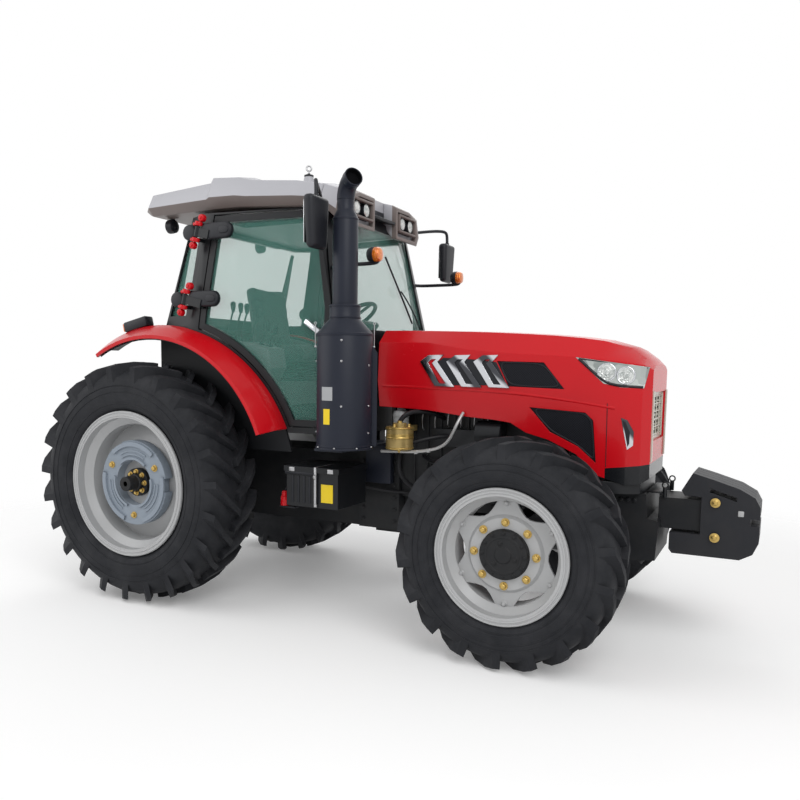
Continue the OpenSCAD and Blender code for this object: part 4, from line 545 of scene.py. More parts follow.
def joined(verts, kind):
    """The edges or faces at some vertices, each once and always in the same order."""
    return list(dict.fromkeys(part for v in verts for part in getattr(v, kind)))


def edges_among(bm, verts):
    """The edges with both ends among some vertices."""
    chosen = set(verts)
    return [e for e in bm.edges if e.verts[0] in chosen and e.verts[1] in chosen]


def bevel(bm, edges, width, segments=2):
    """Rounds some edges."""
    bmesh.ops.bevel(bm, geom=edges, offset=width, offset_type="OFFSET", segments=segments, profile=0.5,
                    affect="EDGES", material=-1, clamp_overlap=True)


def add_block(bm, low, high, soft=0.004, turn=None):
    """A block between two corners with rounded edges, turned about its middle."""
    low, high = Vector(low), Vector(high)
    size = Vector([abs(v) for v in high - low])
    matrix = Matrix.Translation((low + high) / 2) @ (turn or Matrix()) @ Matrix.Diagonal((*size, 1))
    made = bmesh.ops.create_cube(bm, size=1.0, matrix=matrix)["verts"]
    bevel(bm, edges_among(bm, made), min(soft, 0.45 * min(size)))


def add_rod(bm, start, end, r, r_end=None, sides=20, soft=0.0):
    """A round rod or cone between two points."""
    start, end = Vector(start), Vector(end)
    matrix = Matrix.Translation((start + end) / 2) @ turned_to(end - start)
    made = bmesh.ops.create_cone(bm, cap_ends=True, segments=sides, radius1=r,
                                 radius2=r if r_end is None else r_end, depth=(end - start).length,
                                 matrix=matrix)["verts"]
    if soft:
        bevel(bm, [e for e in edges_among(bm, made) if any(len(f.verts) > 4 for f in e.link_faces)], soft)


def add_turned(bm, outline, start, axis, steps=40, angle=FULL_TURN, turn=0.0):
    """An outline of (radius, distance along the axis) points spun about the axis."""
    place = Matrix.Translation(start) @ turned_to(axis) @ Matrix.Rotation(turn, 4, "Z")
    before = set(bm.verts)
    verts = [bm.verts.new(place @ Vector((r, 0.0, along))) for r, along in outline]
    edges = [bm.edges.new(pair) for pair in zip(verts, verts[1:])]
    whole = abs(angle - FULL_TURN) < 1e-6
    bmesh.ops.spin(bm, geom=verts + edges, cent=start, axis=Vector(axis).normalized(), dvec=(0, 0, 0),
                   angle=angle, steps=steps, use_merge=whole)
    bmesh.ops.remove_doubles(bm, verts=[v for v in bm.verts if v not in before], dist=MERGE)


def add_slab(bm, outline, depth, place, soft=0.0):
    """A flat outline in a plane, extruded along the plane's own Z."""
    verts = [bm.verts.new(place @ Vector((x, y, 0.0))) for x, y in outline]
    face = bm.faces.new(verts)
    grown = bmesh.ops.extrude_face_region(bm, geom=[face])["geom"]
    moved = [v for v in grown if isinstance(v, bmesh.types.BMVert)]
    bmesh.ops.translate(bm, verts=moved, vec=place.to_3x3() @ Vector((0.0, 0.0, depth)))
    bmesh.ops.recalc_face_normals(bm, faces=joined(verts + moved, "link_faces"))
    if soft:
        bevel(bm, edges_among(bm, moved), soft, 3)


def add_bolt(bm, point, axis, r, high, washer=1.45):
    """A hexagon head with its washer, standing on a point."""
    axis = Vector(axis).normalized()
    point = Vector(point)
    add_rod(bm, point - axis * 0.002, point + axis * high * 0.2, r * washer, sides=16)
    add_rod(bm, point, point + axis * high * 0.88, r, sides=6)
    add_rod(bm, point + axis * high * 0.86, point + axis * high, r * 0.93, r * 0.72, sides=6)


def spot_round(centre, axis, ring, turn):
    """A point on a ring about an axis along X, Y or Z."""
    first, second = (i for i in range(3) if abs(axis[i]) < 0.5)
    spot = Vector(centre)
    spot[first] += ring * math.cos(turn)
    spot[second] += ring * math.sin(turn)
    return spot


def add_ring_of_bolts(bm, hub, axis, ring, count, r, high, start=0.0):
    """Bolts spaced round an axis along X, Y or Z."""
    for i in range(count):
        add_bolt(bm, spot_round(hub, axis, ring, start + FULL_TURN * i / count), axis, r, high)


def stadium(length, high, steps=8):
    """Outline of a bar with round ends, from the middle of its first end."""
    r = high / 2
    ends = []
    for middle_x, first in ((length - r, -90.0), (r, 90.0)):
        for i in range(steps + 1):
            turn = math.radians(first + 180.0 * i / steps)
            ends.append((middle_x + r * math.cos(turn), r * math.sin(turn)))
    return ends


def add_hose(bm, points, r, sides=12):
    """A smooth hose through some points."""
    curve = bpy.data.curves.new("hose_path", "CURVE")
    curve.dimensions = "3D"
    curve.bevel_depth = r
    curve.bevel_resolution = max(1, sides // 4 - 1)
    curve.resolution_u = 8
    curve.use_fill_caps = True
    path = curve.splines.new("NURBS")
    path.points.add(len(points) - 1)
    for spot, point in zip(path.points, points):
        spot.co = (*point, 1.0)
    path.use_endpoint_u = True
    path.order_u = min(4, len(points))
    holder = bpy.data.objects.new("hose_path", curve)
    bpy.context.scene.collection.objects.link(holder)
    mesh = bpy.data.meshes.new_from_object(
        holder.evaluated_get(bpy.context.evaluated_depsgraph_get()))
    bm.from_mesh(mesh)
    bpy.data.objects.remove(holder)
    bpy.data.curves.remove(curve)
    bpy.data.meshes.remove(mesh)


def put_piece(name, bm, slot, finish_name=None, body="chassis", angle=35.0):
    """Makes the object of a finished bmesh, shades it and lets it ride on its body.

    A finish that isn't named is the one of the slot's name."""
    if not bm.faces:
        raise RuntimeError(f"{name} has no faces")
    bmesh.ops.recalc_face_normals(bm, faces=bm.faces)
    mesh = bpy.data.meshes.new(name)
    bm.to_mesh(mesh)
    bm.free()
    mesh.materials.append(finish(finish_name or slot))
    mesh.shade_smooth()
    mesh.set_sharp_from_angle(angle=math.radians(angle))
    made = bpy.data.objects.new(name, mesh)
    bpy.context.scene.collection.objects.link(made)
    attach(made, body)
    return made


def side_place(x, y, z, side):
    """Plane on a flank: local X forward, local Y up, local Z outwards."""
    return Matrix(((1, 0, 0, at(x, y, z).x), (0, 0, side, y), (0, 1, 0, z), (0, 0, 0, 1)))


def skin(node, start, way):
    """Where a ray first meets a solid, and the surface's direction there."""
    met, spot, normal, _ = frame["nodes"][node].ray_cast(start, Vector(way).normalized())
    if not met:
        raise RuntimeError(f"no surface of {node} lies ahead of {tuple(start)}")
    return spot, normal


def hood_skin(along, up, side, node):
    """Where the hood's flank lies, from shares of the hood's length and height."""
    beside = at(HOOD_REAR + HOOD_LENGTH * along, side * 0.9, HOOD_LOW + HOOD_HEIGHT * up)
    return skin(node, beside, (0, -side, 0))


def hood_spot(along, up, side, lift=0.0, node="hood"):
    """A point on the hood's flank, from shares of the hood's length and height."""
    spot, normal = hood_skin(along, up, side, node)
    return spot + normal * lift


def screen_spot(y, z, lift):
    """A point on the front pane."""
    spot, normal = skin("cab_glass", at(3.0, y, z), (-1, 0, 0))
    return spot + normal * lift


def on_side(points, sign):
    """Points of the right or the left side."""
    return [at(x, sign * y, z) for x, y, z in points]


def add_plate(bm, spots, depth, out):
    """A thin plate through some spots, thickened outwards."""
    face = bm.faces.new([bm.verts.new(spot) for spot in spots])
    face.normal_update()
    way = face.normal * depth
    if way.dot(Vector(out)) < 0:
        way.negate()
    grown = bmesh.ops.extrude_face_region(bm, geom=[face])["geom"]
    bmesh.ops.translate(bm, verts=[v for v in grown if isinstance(v, bmesh.types.BMVert)], vec=way)


def add_torus(bm, centre, axis, ring, r, steps=32, sides=10):
    """A round ring about an axis."""
    turns = [FULL_TURN * i / sides for i in range(sides + 1)]
    outline = [(ring + r * math.cos(turn), r * math.sin(turn)) for turn in turns]
    add_turned(bm, outline, centre, axis, steps)


def add_loft(bm, rings):
    """A closed shell bridged from ring to ring of points, and capped at both ends."""
    loops = []
    for points in rings:
        made = bmesh.ops.create_circle(bm, cap_ends=False, segments=len(points), radius=1.0)["verts"]
        for v, point in zip(made, points):
            v.co = point
        loops.append(joined(made, "link_edges"))
    for here, there in zip(loops, loops[1:]):
        bmesh.ops.bridge_loops(bm, edges=here + there)
    for end in (loops[0], loops[-1]):
        bmesh.ops.contextual_create(bm, geom=end)


def cut_away(bm, point, way):
    """Removes what lies beyond a plane and closes the cut."""
    cut = bmesh.ops.bisect_plane(bm, geom=bm.verts[:] + bm.edges[:] + bm.faces[:], dist=1e-6, plane_co=point,
                                 plane_no=way, clear_outer=True)["geom_cut"]
    bmesh.ops.contextual_create(bm, geom=[e for e in cut if isinstance(e, bmesh.types.BMEdge)])


def round_ridges(bm, width, least=14.0):
    """Rounds every edge where two faces meet at an angle."""
    bmesh.ops.recalc_face_normals(bm, faces=bm.faces)
    steep = math.radians(least)
    ridges = [e for e in bm.edges if len(e.link_faces) == 2 and e.calc_face_angle() > steep]
    bevel(bm, ridges, width, 3)


def close_corners(points, share=0.12):
    """Points of a closed path that keeps near an outline's corners."""
    path = []
    for here, there in zip(points, points[1:] + points[:1]):
        path += [here.lerp(there, share), here.lerp(there, 0.5), here.lerp(there, 1 - share)]
    return path + path[:1]


# Pieces


def soft_shading():
    """Geometry nodes that join a solid's loose triangles and shade its flat-angled edges smooth."""
    tree = bpy.data.node_groups.new("soft_shading", "GeometryNodeTree")
    for way in ("INPUT", "OUTPUT"):
        tree.interface.new_socket("Geometry", in_out=way, socket_type="NodeSocketGeometry")
    start, end = tree.nodes.new("NodeGroupInput"), tree.nodes.new("NodeGroupOutput")
    welded = add_node(tree, "GeometryNodeMergeByDistance", {"Geometry": start.outputs[0], "Distance": MERGE})
    smooth = add_node(tree, "GeometryNodeSetShadeSmooth", {"Geometry": welded.outputs[0]}, domain="FACE")
    angle = add_node(tree, "GeometryNodeInputMeshEdgeAngle").outputs[0]
    steep = add_node(tree, "FunctionNodeCompare", {0: angle, 1: math.radians(SHARP_ANGLE)},
                     data_type="FLOAT", operation="GREATER_THAN").outputs[0]
    sharp = add_node(tree, "GeometryNodeSetShadeSmooth",
                     {"Geometry": smooth.outputs[0], "Selection": steep, "Shade Smooth": False},
                     domain="EDGE")
    tree.links.new(sharp.outputs[0], end.inputs[0])
    return tree


class TRACTOR_OT_finishes(bpy.types.Operator):
    """Gives every solid of the frame its finish"""

    bl_idname = "tractor.finishes"
    bl_label = "Finishes"

    def execute(self, context):
        by_node = {
            "front_support": "cast_black", "front_weights": "weight_black", "front_axle": "cast_black",
            "engine": "engine_grey", "engine_fittings": "side_fittings", "bulkhead": "satin_black",
            "radiator": "black_plastic", "transmission": "cast_black", "hitch_frame": "cast_black",
            "exhaust": "stack_slate", "battery_box": "satin_black", "fuel_tank": "black_plastic",
            "left_steps": "satin_black", "cab_tub": "tub_grey", "cab_frame": "satin_black",
            "cab_glass": "green_glass", "cab_roof": "two_tone_roof", "seat": "trim_grey",
            "dashboard": "black_plastic", "mirrors": "black_plastic", "lamps": "amber_lens",
            "fenders": "gloss_red", "hood": "hood_red", "hood_panels": "punched_black",
            "hood_vents": "chevron_chrome", "grille": "pale_trim", "headlamps": "headlamp",
            "door_right": "satin_black", "door_right_glass": "green_glass", "door_left": "satin_black",
            "door_left_glass": "green_glass", "knuckle_right": "cast_black", "knuckle_left": "cast_black",
            "tie_rod": "bare_steel", "front_wheel_right": "rim_silver", "front_wheel_left": "rim_silver",
            "front_tyre_right": "front_rubber", "front_tyre_left": "front_rubber",
            "rear_wheel_right": "rim_silver", "rear_wheel_left": "rim_silver",
            "rear_weight_right": "weight_blue", "rear_weight_left": "weight_blue",
            "rear_tyre_right": "rear_rubber", "rear_tyre_left": "rear_rubber",
            "lower_links": "cast_black", "lift_arms": "cast_black", "lift_rods": "bare_steel",
        }
        missing = sorted(set(frame["nodes"]) - set(by_node))
        if missing:
            raise RuntimeError(f"no finish is named for {missing}")
        shading = soft_shading()
        for node, name in by_node.items():
            frame["nodes"][node].modifiers.new("soft_shading", "NODES").node_group = shading
            mesh = frame["nodes"][node].data
            for slot in range(len(mesh.materials)):
                mesh.materials[slot] = finish(name)
            if not mesh.materials:
                mesh.materials.append(finish(name))
        return {"FINISHED"}


class TRACTOR_OT_wheels(bpy.types.Operator):
    """Adds hubs, bolts, weight ribs, rings, star discs and valves to the wheels"""

    bl_idname = "tractor.wheels"
    bl_label = "Wheel fittings"

    def execute(self, context):
        s = sizes()
        for side, sign in SIDES.items():
            out = Vector((0, sign, 0))
            rear = at(0, 0, REAR_HUB.z)
            body = f"{side}_rear_wheel"

            bm = bmesh.new()
            add_ring_of_bolts(bm, rear + out * 1.018, out, s.hub_bolt_ring, s.hub_bolts, s.hub_bolt, 0.022)
            add_ring_of_bolts(bm, rear + out * 1.048, out, 0.235, 3, 0.017, 0.024, math.radians(30))
            put_piece(f"{side}_rear_bolts", bm, "fittings_zinc", "yellow_zinc", body=body)

            bm = bmesh.new()
            add_turned(bm, [(0.0, 1.0195), (0.060, 1.0195), (0.099, 1.0195), (0.1015, 1.017),
                            (0.1015, 0.982)],
                       rear, out, 48)
            add_turned(bm, [(0.0515, 1.02), (0.0515, 1.129), (0.049, 1.1315), (0.02, 1.1315), (0.018, 1.128),
                            (0.0, 1.128)], rear, out, 32)
            add_turned(bm, [(0.052, 1.02), (0.066, 1.022), (0.060, 1.045), (0.052, 1.05)], rear, out, 32)
            put_piece(f"{side}_rear_hub", bm, "cast_black", body=body)

            bm = bmesh.new()
            for i in range(3):
                for ring, wide, high, span in ((0.166, 0.018, 0.016, 84), (0.198, 0.010, 0.007, 62),
                                               (0.224, 0.010, 0.007, 62), (0.262, 0.032, 0.016, 84)):
                    add_turned(bm, [(ring, 1.0465), (ring, 1.0475 + high), (ring + wide, 1.0475 + high),
                                    (ring + wide, 1.0465), (ring, 1.0465)], rear, out, 24, math.radians(span),
                               math.radians(90 - span / 2 + 120 * i))
            put_piece(f"{side}_weight_ribs", bm, "weight_grey", "weight_blue", body=body)

            front = at(FRONT_HUB.x - REAR_HUB.x, 0, FRONT_HUB.z)
            for end, hub, lips, walls in (("rear", rear, (0.008, 0.030), (0.575, 0.655, 0.70)),
                                          ("front", front, (0.007, 0.026), (0.435, 0.495, 0.53))):
                low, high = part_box(f"{end}_wheel_{side}")
                rim_r = (high.z - low.z) / 2
                for name, node, rings, thick, slot, finish_name in (
                        ("rim_lips", f"{end}_wheel_{side}", [rim_r - lip for lip in lips],
                         0.006, "rim_silver", "rim_silver"),
                        ("tyre_rings", f"{end}_tyre_{side}", walls, 0.0035, "tyre", f"{end}_rubber")):
                    bm = bmesh.new()
                    for ring in rings:
                        spot, _ = skin(node, hub + out * 2.0 + Vector((ring, 0, 0)), -out)
                        add_torus(bm, Vector((hub.x, spot.y, hub.z)), out, ring, thick, 72, 8)
                    put_piece(f"{side}_{end}_{name}", bm, slot, finish_name, body=f"{side}_{end}_wheel")

            body = f"{side}_front_wheel"
            bm = bmesh.new()
            star = []
            for i in range(6):
                for step in range(8):
                    turn = math.radians(60 * i + 23.5 + (13 * step if step < 2 else 13 + 47 * (step - 1) / 7))
                    reach = s.star_reach
                    if step > 1:
                        reach -= s.star_dip * math.sin(math.pi * (step - 1) / 7) ** 0.8
                    star.append((reach * math.cos(turn), reach * math.sin(turn)))
            add_slab(bm, star, 0.0165, side_place(front.x - REAR_HUB.x, sign * 0.957, front.z, sign), 0.003)
            put_piece(f"{side}_front_star", bm, "rim_silver", body=body)

            bm = bmesh.new()
            add_ring_of_bolts(bm, front + out * 0.9905, out, s.wheel_nut_ring, 8, s.wheel_nut, 0.026,
                              math.radians(90))
            put_piece(f"{side}_front_nuts", bm, "fittings_zinc", "yellow_zinc", body=body)

            bm = bmesh.new()
            add_turned(bm, [(0.1530, 0.958), (0.1530, 0.983), (0.1500, 0.990), (0.1440, 0.992),
                            (0.1430, 1.018), (0.1390, 1.0235), (0.112, 1.0235), (0.110, 1.026),
                            (0.098, 1.026), (0.096, 1.0235), (0.05, 1.0235), (0.045, 1.029), (0.0, 1.031)],
                            front, out, 56)
            add_ring_of_bolts(bm, front + out * 1.0235, out, 0.127, 12, 0.0085, 0.010)
            add_ring_of_bolts(bm, front + out * 1.0235, out, 0.072, 3, 0.011, 0.010, math.radians(-15))
            put_piece(f"{side}_front_hub_cover", bm, "cast_black", body=body)

            bm = bmesh.new()
            for i in range(6):
                turn = math.radians(60 * i + 30)
                spot = front + out * 0.9735 + Vector((0.305 * math.cos(turn), 0, 0.292 * math.sin(turn)))
                add_rod(bm, spot - out * 0.012, spot + out * 0.006, 0.021, 0.017, sides=18, soft=0.003)
                add_bolt(bm, spot + out * 0.006, out, 0.012, 0.012, 1.1)
            valve = spot_round(front + out, out, 0.325, 1.25)
            add_rod(bm, valve - out * 0.05, valve, 0.008, sides=14)
            add_turned(bm, [(0.009, -0.012), (0.014, -0.012), (0.015, 0.008), (0.012, 0.012), (0.0, 0.013)],
                       valve, out, 18)
            put_piece(f"{side}_front_disc_bolts", bm, "rim_silver", body=body)
        return {"FINISHED"}


class TRACTOR_OT_hood_trim(bpy.types.Operator):
    """Adds dark plates of painted recess shade, lamp bowls, grille bars, crease and seams to the hood"""

    bl_idname = "tractor.hood_trim"
    bl_label = "Hood trim"

    def execute(self, context):
        bm = bmesh.new()
        rows, columns = 15, 25
        for i in range(columns):
            y = -0.225 + 0.45 * i / (columns - 1)
            add_block(bm, at(3.372, y - 0.0016, 1.30), at(3.379, y + 0.0016, 1.556), 0.0006)
        for i in range(rows):
            z = 1.305 + 0.245 * i / (rows - 1)
            add_block(bm, at(3.366, -0.228, z - 0.0016), at(3.372, 0.228, z + 0.0016), 0.0006)
        put_piece("grille_screen", bm, "black_plastic", body="hood_lid")

        bm = bmesh.new()
        for y in (-0.12, 0.0, 0.12):
            add_block(bm, at(3.3985, y - 0.006, 1.30), at(3.4065, y + 0.006, 1.556), 0.003)
        for y in (-0.2375, 0.2375):
            add_block(bm, at(3.399, y - 0.010, 1.285), at(3.409, y + 0.010, 1.571), 0.004)
        put_piece("grille_posts", bm, "chrome", "pale_trim", body="hood_lid")

        dark, rims, bowls, rings, seams = (bmesh.new() for _ in range(5))
        for sign in SIDES.values():
            # Flat dark plates on the flanks are painted shade of the hood's recesses and of the fang
            recess = [(0.268, 0.806), (0.247, 0.778), (0.283, 0.69), (0.313, 0.622), (0.42, 0.626),
                      (0.516, 0.6275), (0.4945, 0.705), (0.4725, 0.779), (0.40, 0.795), (0.33, 0.803)]
            add_plate(dark, [hood_spot(*spot, sign, 0.0006) for spot in recess], 0.003, (0, sign, 0))
            fang = [(0.9155, 0.428), (0.925, 0.418), (0.940, 0.356), (0.939, 0.285), (0.934, 0.264)]
            add_plate(dark, [hood_spot(*spot, sign, 0.0006, "hood_vents") for spot in fang], 0.003,
                      (0, sign, 0))
            lower = [(0.764, 0.805), (0.80, 0.745), (0.851, 0.66), (0.88, 0.648), (0.909, 0.638),
                     (0.945, 0.636), (0.974, 0.634)]
            add_hose(rims, [hood_spot(*spot, sign, 0.001, "headlamps") for spot in lower], 0.008)
            upper = [(0.764, 0.805), (0.84, 0.789), (0.92, 0.768), (0.984, 0.751)]
            add_hose(rims, [hood_spot(*spot, sign, 0.0, "headlamps") for spot in upper], 0.004)
            for along, up, r in ((0.858, 0.722, 0.052), (0.920, 0.704, 0.050)):
                spot, out = hood_skin(along, up, sign, "headlamps")
                add_turned(bowls, [(0.0, 0.009), (r * 0.3, 0.008), (r * 0.34, 0.003), (r * 0.6, 0.0045),
                                   (r * 0.66, 0.002), (r * 0.92, 0.004), (r, -0.004)], spot, out, 32)
                add_torus(rings, spot + out * 0.001, out, r, 0.0045)
            add_hose(seams, [hood_spot(0.865, 0.53 - 0.04 * i, sign, 0.0002) for i in range(11)], 0.0022)
            mesh = [(0.605, 0.484), (0.79, 0.463), (0.815, 0.417), (0.827, 0.165), (0.771, 0.258),
                    (0.675, 0.342)]
            louvre = [(0.480, 0.780), (0.642, 0.773), (0.711, 0.620), (0.523, 0.629)]
            for outline in (mesh, louvre):
                spots = [hood_spot(*spot, sign, 0.0, "hood_panels") for spot in outline]
                add_hose(seams, close_corners(spots), 0.005)
        crease, strips = bmesh.new(), bmesh.new()
        for sign in SIDES.values():
            line = [(0.02, 0.607), (0.09, 0.604), (0.25, 0.597), (0.40, 0.590), (0.54, 0.580), (0.72, 0.546),
                    (0.80, 0.525), (0.89, 0.50)]
            add_hose(crease, [hood_spot(*spot, sign, -0.010) for spot in line], 0.014, 20)
            corners = [(0.290, 1.585), (0.262, 1.585), (0.256, 1.16), (0.280, 1.16)]
            spots = [skin("hood", at(4.2, sign * y, z), (-1, 0, 0))[0] for y, z in corners]
            add_plate(strips, spots, 0.009, AHEAD)
        for i in range(6):
            z = 1.312 + 0.048 * i
            add_block(strips, at(3.400, -0.236, z - 0.004), at(3.407, 0.236, z + 0.004), 0.002)
        put_piece("hood_crease", crease, "red_paint", "gloss_red", body="hood_lid")
        put_piece("nose_strips", strips, "chrome", "pale_trim", body="hood_lid")
        # painted shade: the flat dark plates of the recesses and the fang
        put_piece("hood_recesses", dark, "black_plastic", body="hood_lid")
        put_piece("lamp_rims", rims, "black_plastic", body="hood_lid")
        put_piece("lamp_bowls", bowls, "lamp_clear", "clear_lens", body="hood_lid", angle=20.0)
        put_piece("lamp_rings", rings, "chrome", "bright_chrome", body="hood_lid")
        put_piece("hood_seams", seams, "black_plastic", body="hood_lid")
        return {"FINISHED"}


class TRACTOR_OT_front_trim(bpy.types.Operator):
    """Adds the lip under the nose, and bolts, caps and cylinder of support, weights and axle"""

    bl_idname = "tractor.front_trim"
    bl_label = "Front trim"

    def execute(self, context):
        bm = bmesh.new()
        plan = [(3.12, -0.372), (3.22, -0.366), (3.31, -0.345), (3.372, -0.300), (3.388, -0.22), (3.392, 0.0)]
        plan += [(x, -y) for x, y in reversed(plan[:-1])]
        add_slab(bm, [(x + REAR_HUB.x, y) for x, y in plan], 0.075,
                 Matrix.Translation((0, 0, 0.9635)), 0.008)
        put_piece("nose_lip", bm, "black_plastic", "satin_black")

        zinc, plates, black = bmesh.new(), bmesh.new(), bmesh.new()
        for sign in SIDES.values():
            out = Vector((0, sign, 0))
            for x, z in ((3.788, 0.9305), (3.793, 0.7205)):
                add_turned(zinc, [(0.0, 0.1905), (0.0285, 0.1905), (0.0285, 0.1935), (0.016, 0.195),
                                  (0.012, 0.198)], at(x, 0, z), out, 28)
                add_bolt(zinc, at(x, sign * 0.1945, z), out, 0.013, 0.010, 1.1)
            add_block(plates, at(3.912, sign * 0.172, 0.858), at(3.945, sign * 0.181, 0.892), 0.004)
            for x in (3.26, 3.30, 3.34):
                add_bolt(black, at(x, sign * 0.275, 0.92), out, 0.012, 0.012)
            for x in (2.36, 2.40, 2.44):
                for z in (0.85, 0.92):
                    add_bolt(black, at(x, sign * 0.275, z), out, 0.012, 0.012)
            for y in (0.06, 0.12):
                add_bolt(black, at(3.46, sign * y, 0.962), UP, 0.013, 0.014)
        put_piece("front_bolts", zinc, "fittings_zinc", "yellow_zinc")
        put_piece("support_bolts", black, "cast_black", "satin_black")
        put_piece("weight_latches", plates, "rim_silver")

        bm = bmesh.new()
        add_block(bm, at(3.40, -0.20, 0.9622), at(3.484, 0.20, 0.975), 0.004)
        for y in (-0.17, 0.17):
            add_rod(bm, at(3.50, y, 0.935), at(3.50, y, 1.0), 0.013, sides=20, soft=0.004)
            add_torus(bm, at(3.50, y, 1.012), (0, 1, 0), 0.017, 0.0045, 24, 8)
        put_piece("support_plate", bm, "cast_black", "satin_black")

        bm = bmesh.new()
        add_rod(bm, at(2.585, -0.30, 0.742), at(2.585, 0.30, 0.742), 0.036, sides=32, soft=0.005)
        for y in (-0.27, 0.27):
            add_rod(bm, at(2.585, y - 0.02, 0.742), at(2.585, y + 0.02, 0.742), 0.043, sides=32, soft=0.004)
            add_block(bm, at(2.56, y - 0.018, 0.66), at(2.64, y + 0.018, 0.742), 0.006)
        put_piece("steering_cylinder", bm, "cast_black", "satin_black")

        for side, sign in SIDES.items():
            bm = bmesh.new()
            pin = at(2.76, sign * 0.69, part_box(f"knuckle_{side}")[1].z)
            add_turned(bm, [(0.062, -0.004), (0.062, 0.008), (0.058, 0.012), (0.030, 0.013), (0.026, 0.020),
                            (0.010, 0.022), (0.008, 0.030), (0.0, 0.031)], pin, UP, 32)
            add_ring_of_bolts(bm, pin + UP * 0.0125, UP, 0.046, 4, 0.007, 0.008, math.radians(45))
            put_piece(f"{side}_kingpin_cap", bm, "cast_black", body=f"{side}_knuckle")

        bm = bmesh.new()
        rod_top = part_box("tie_rod")[1].z
        for sign in SIDES.values():
            joint = at(2.545, sign * 0.69, rod_top)
            add_turned(bm, [(0.030, -0.004), (0.033, 0.004), (0.028, 0.010), (0.018, 0.013), (0.016, 0.019),
                            (0.0, 0.020)], joint, UP, 24)
            for y in (0.60, 0.575):
                add_rod(bm, at(2.545, sign * y, 0.505), at(2.545, sign * (y - 0.018), 0.505), 0.028, sides=6)
        put_piece("track_rod_nuts", bm, "link_steel", "bare_steel", body="track_rod")
        return {"FINISHED"}


class TRACTOR_OT_roof_shell(bpy.types.Operator):
    """Makes the moulded roof, its two lamp pods and the beacon's cone"""

    bl_idname = "tractor.roof_shell"
    bl_label = "Roof shell"

    def execute(self, context):
        rear, length, half, top, high = -0.18, 1.658, 0.80, 2.765, 0.27
        stations = [(0.0, 0.84, 0.2, 0.42, 0.56), (0.048, 0.93, 0.12, 0.68, 0.86),
                    (0.394, 0.985, 0.1, 0.78, 0.93), (0.413, 1.0, 0.1, 0.89, 1.0),
                    (0.545, 1.0, 0.1, 0.83, 0.96), (0.6, 1.0, 0.08, 0.73, 0.85),
                    (0.825, 0.985, 0.0, 0.6, 0.7), (0.929, 0.93, -0.02, 0.5, 0.62),
                    (0.977, 0.82, -0.36, 0.42, 0.54), (1.0, 0.70, -0.38, 0.32, 0.46)]
        rings = []
        for along, wide, edge, shoulder, crown in stations:
            flank = [(0.93, edge), (1.0, edge + (shoulder - edge) * 0.34), (0.93, shoulder), (0.7, crown)]
            flank += [(-out, up) for out, up in reversed(flank)]
            rings.append([at(rear + length * along, half * wide * out, top + high * up) for out, up in flank])
        split, gap, notch = 1.366, 0.002, 0.172

        bm = bmesh.new()
        add_loft(bm, rings)
        cut_away(bm, at(split, 0, 0), (1, 0, 0))
        round_ridges(bm, 0.014)
        add_turned(bm, [(0.0, 2.93), (0.0, BEACON_FOOT), (0.030, BEACON_FOOT), (0.052, 2.93), (0.0, 2.93)],
                   BEACON, UP, 40)
        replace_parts(put_piece("roof_shell", bm, "roof_grey", "two_tone_roof"), "cab_roof")

        for side, sign in SIDES.items():
            bm = bmesh.new()
            add_loft(bm, rings)
            cut_away(bm, at(split + gap, 0, 0), (-1, 0, 0))
            cut_away(bm, at(0, sign * notch, 0), (0, -sign, 0))
            bmesh.ops.recalc_face_normals(bm, faces=bm.faces)
            front = max(bm.faces, key=lambda f: f.calc_center_median().x)
            bmesh.ops.inset_individual(bm, faces=[front], thickness=0.026, use_even_offset=True)
            bmesh.ops.inset_individual(bm, faces=[front], thickness=0.002, use_even_offset=True)
            bmesh.ops.translate(bm, verts=front.verts[:], vec=(-0.052, 0, 0))
            round_ridges(bm, 0.006, 25.0)
            put_piece(f"{side}_roof_pod", bm, "roof_grey", "two_tone_roof")
        return {"FINISHED"}


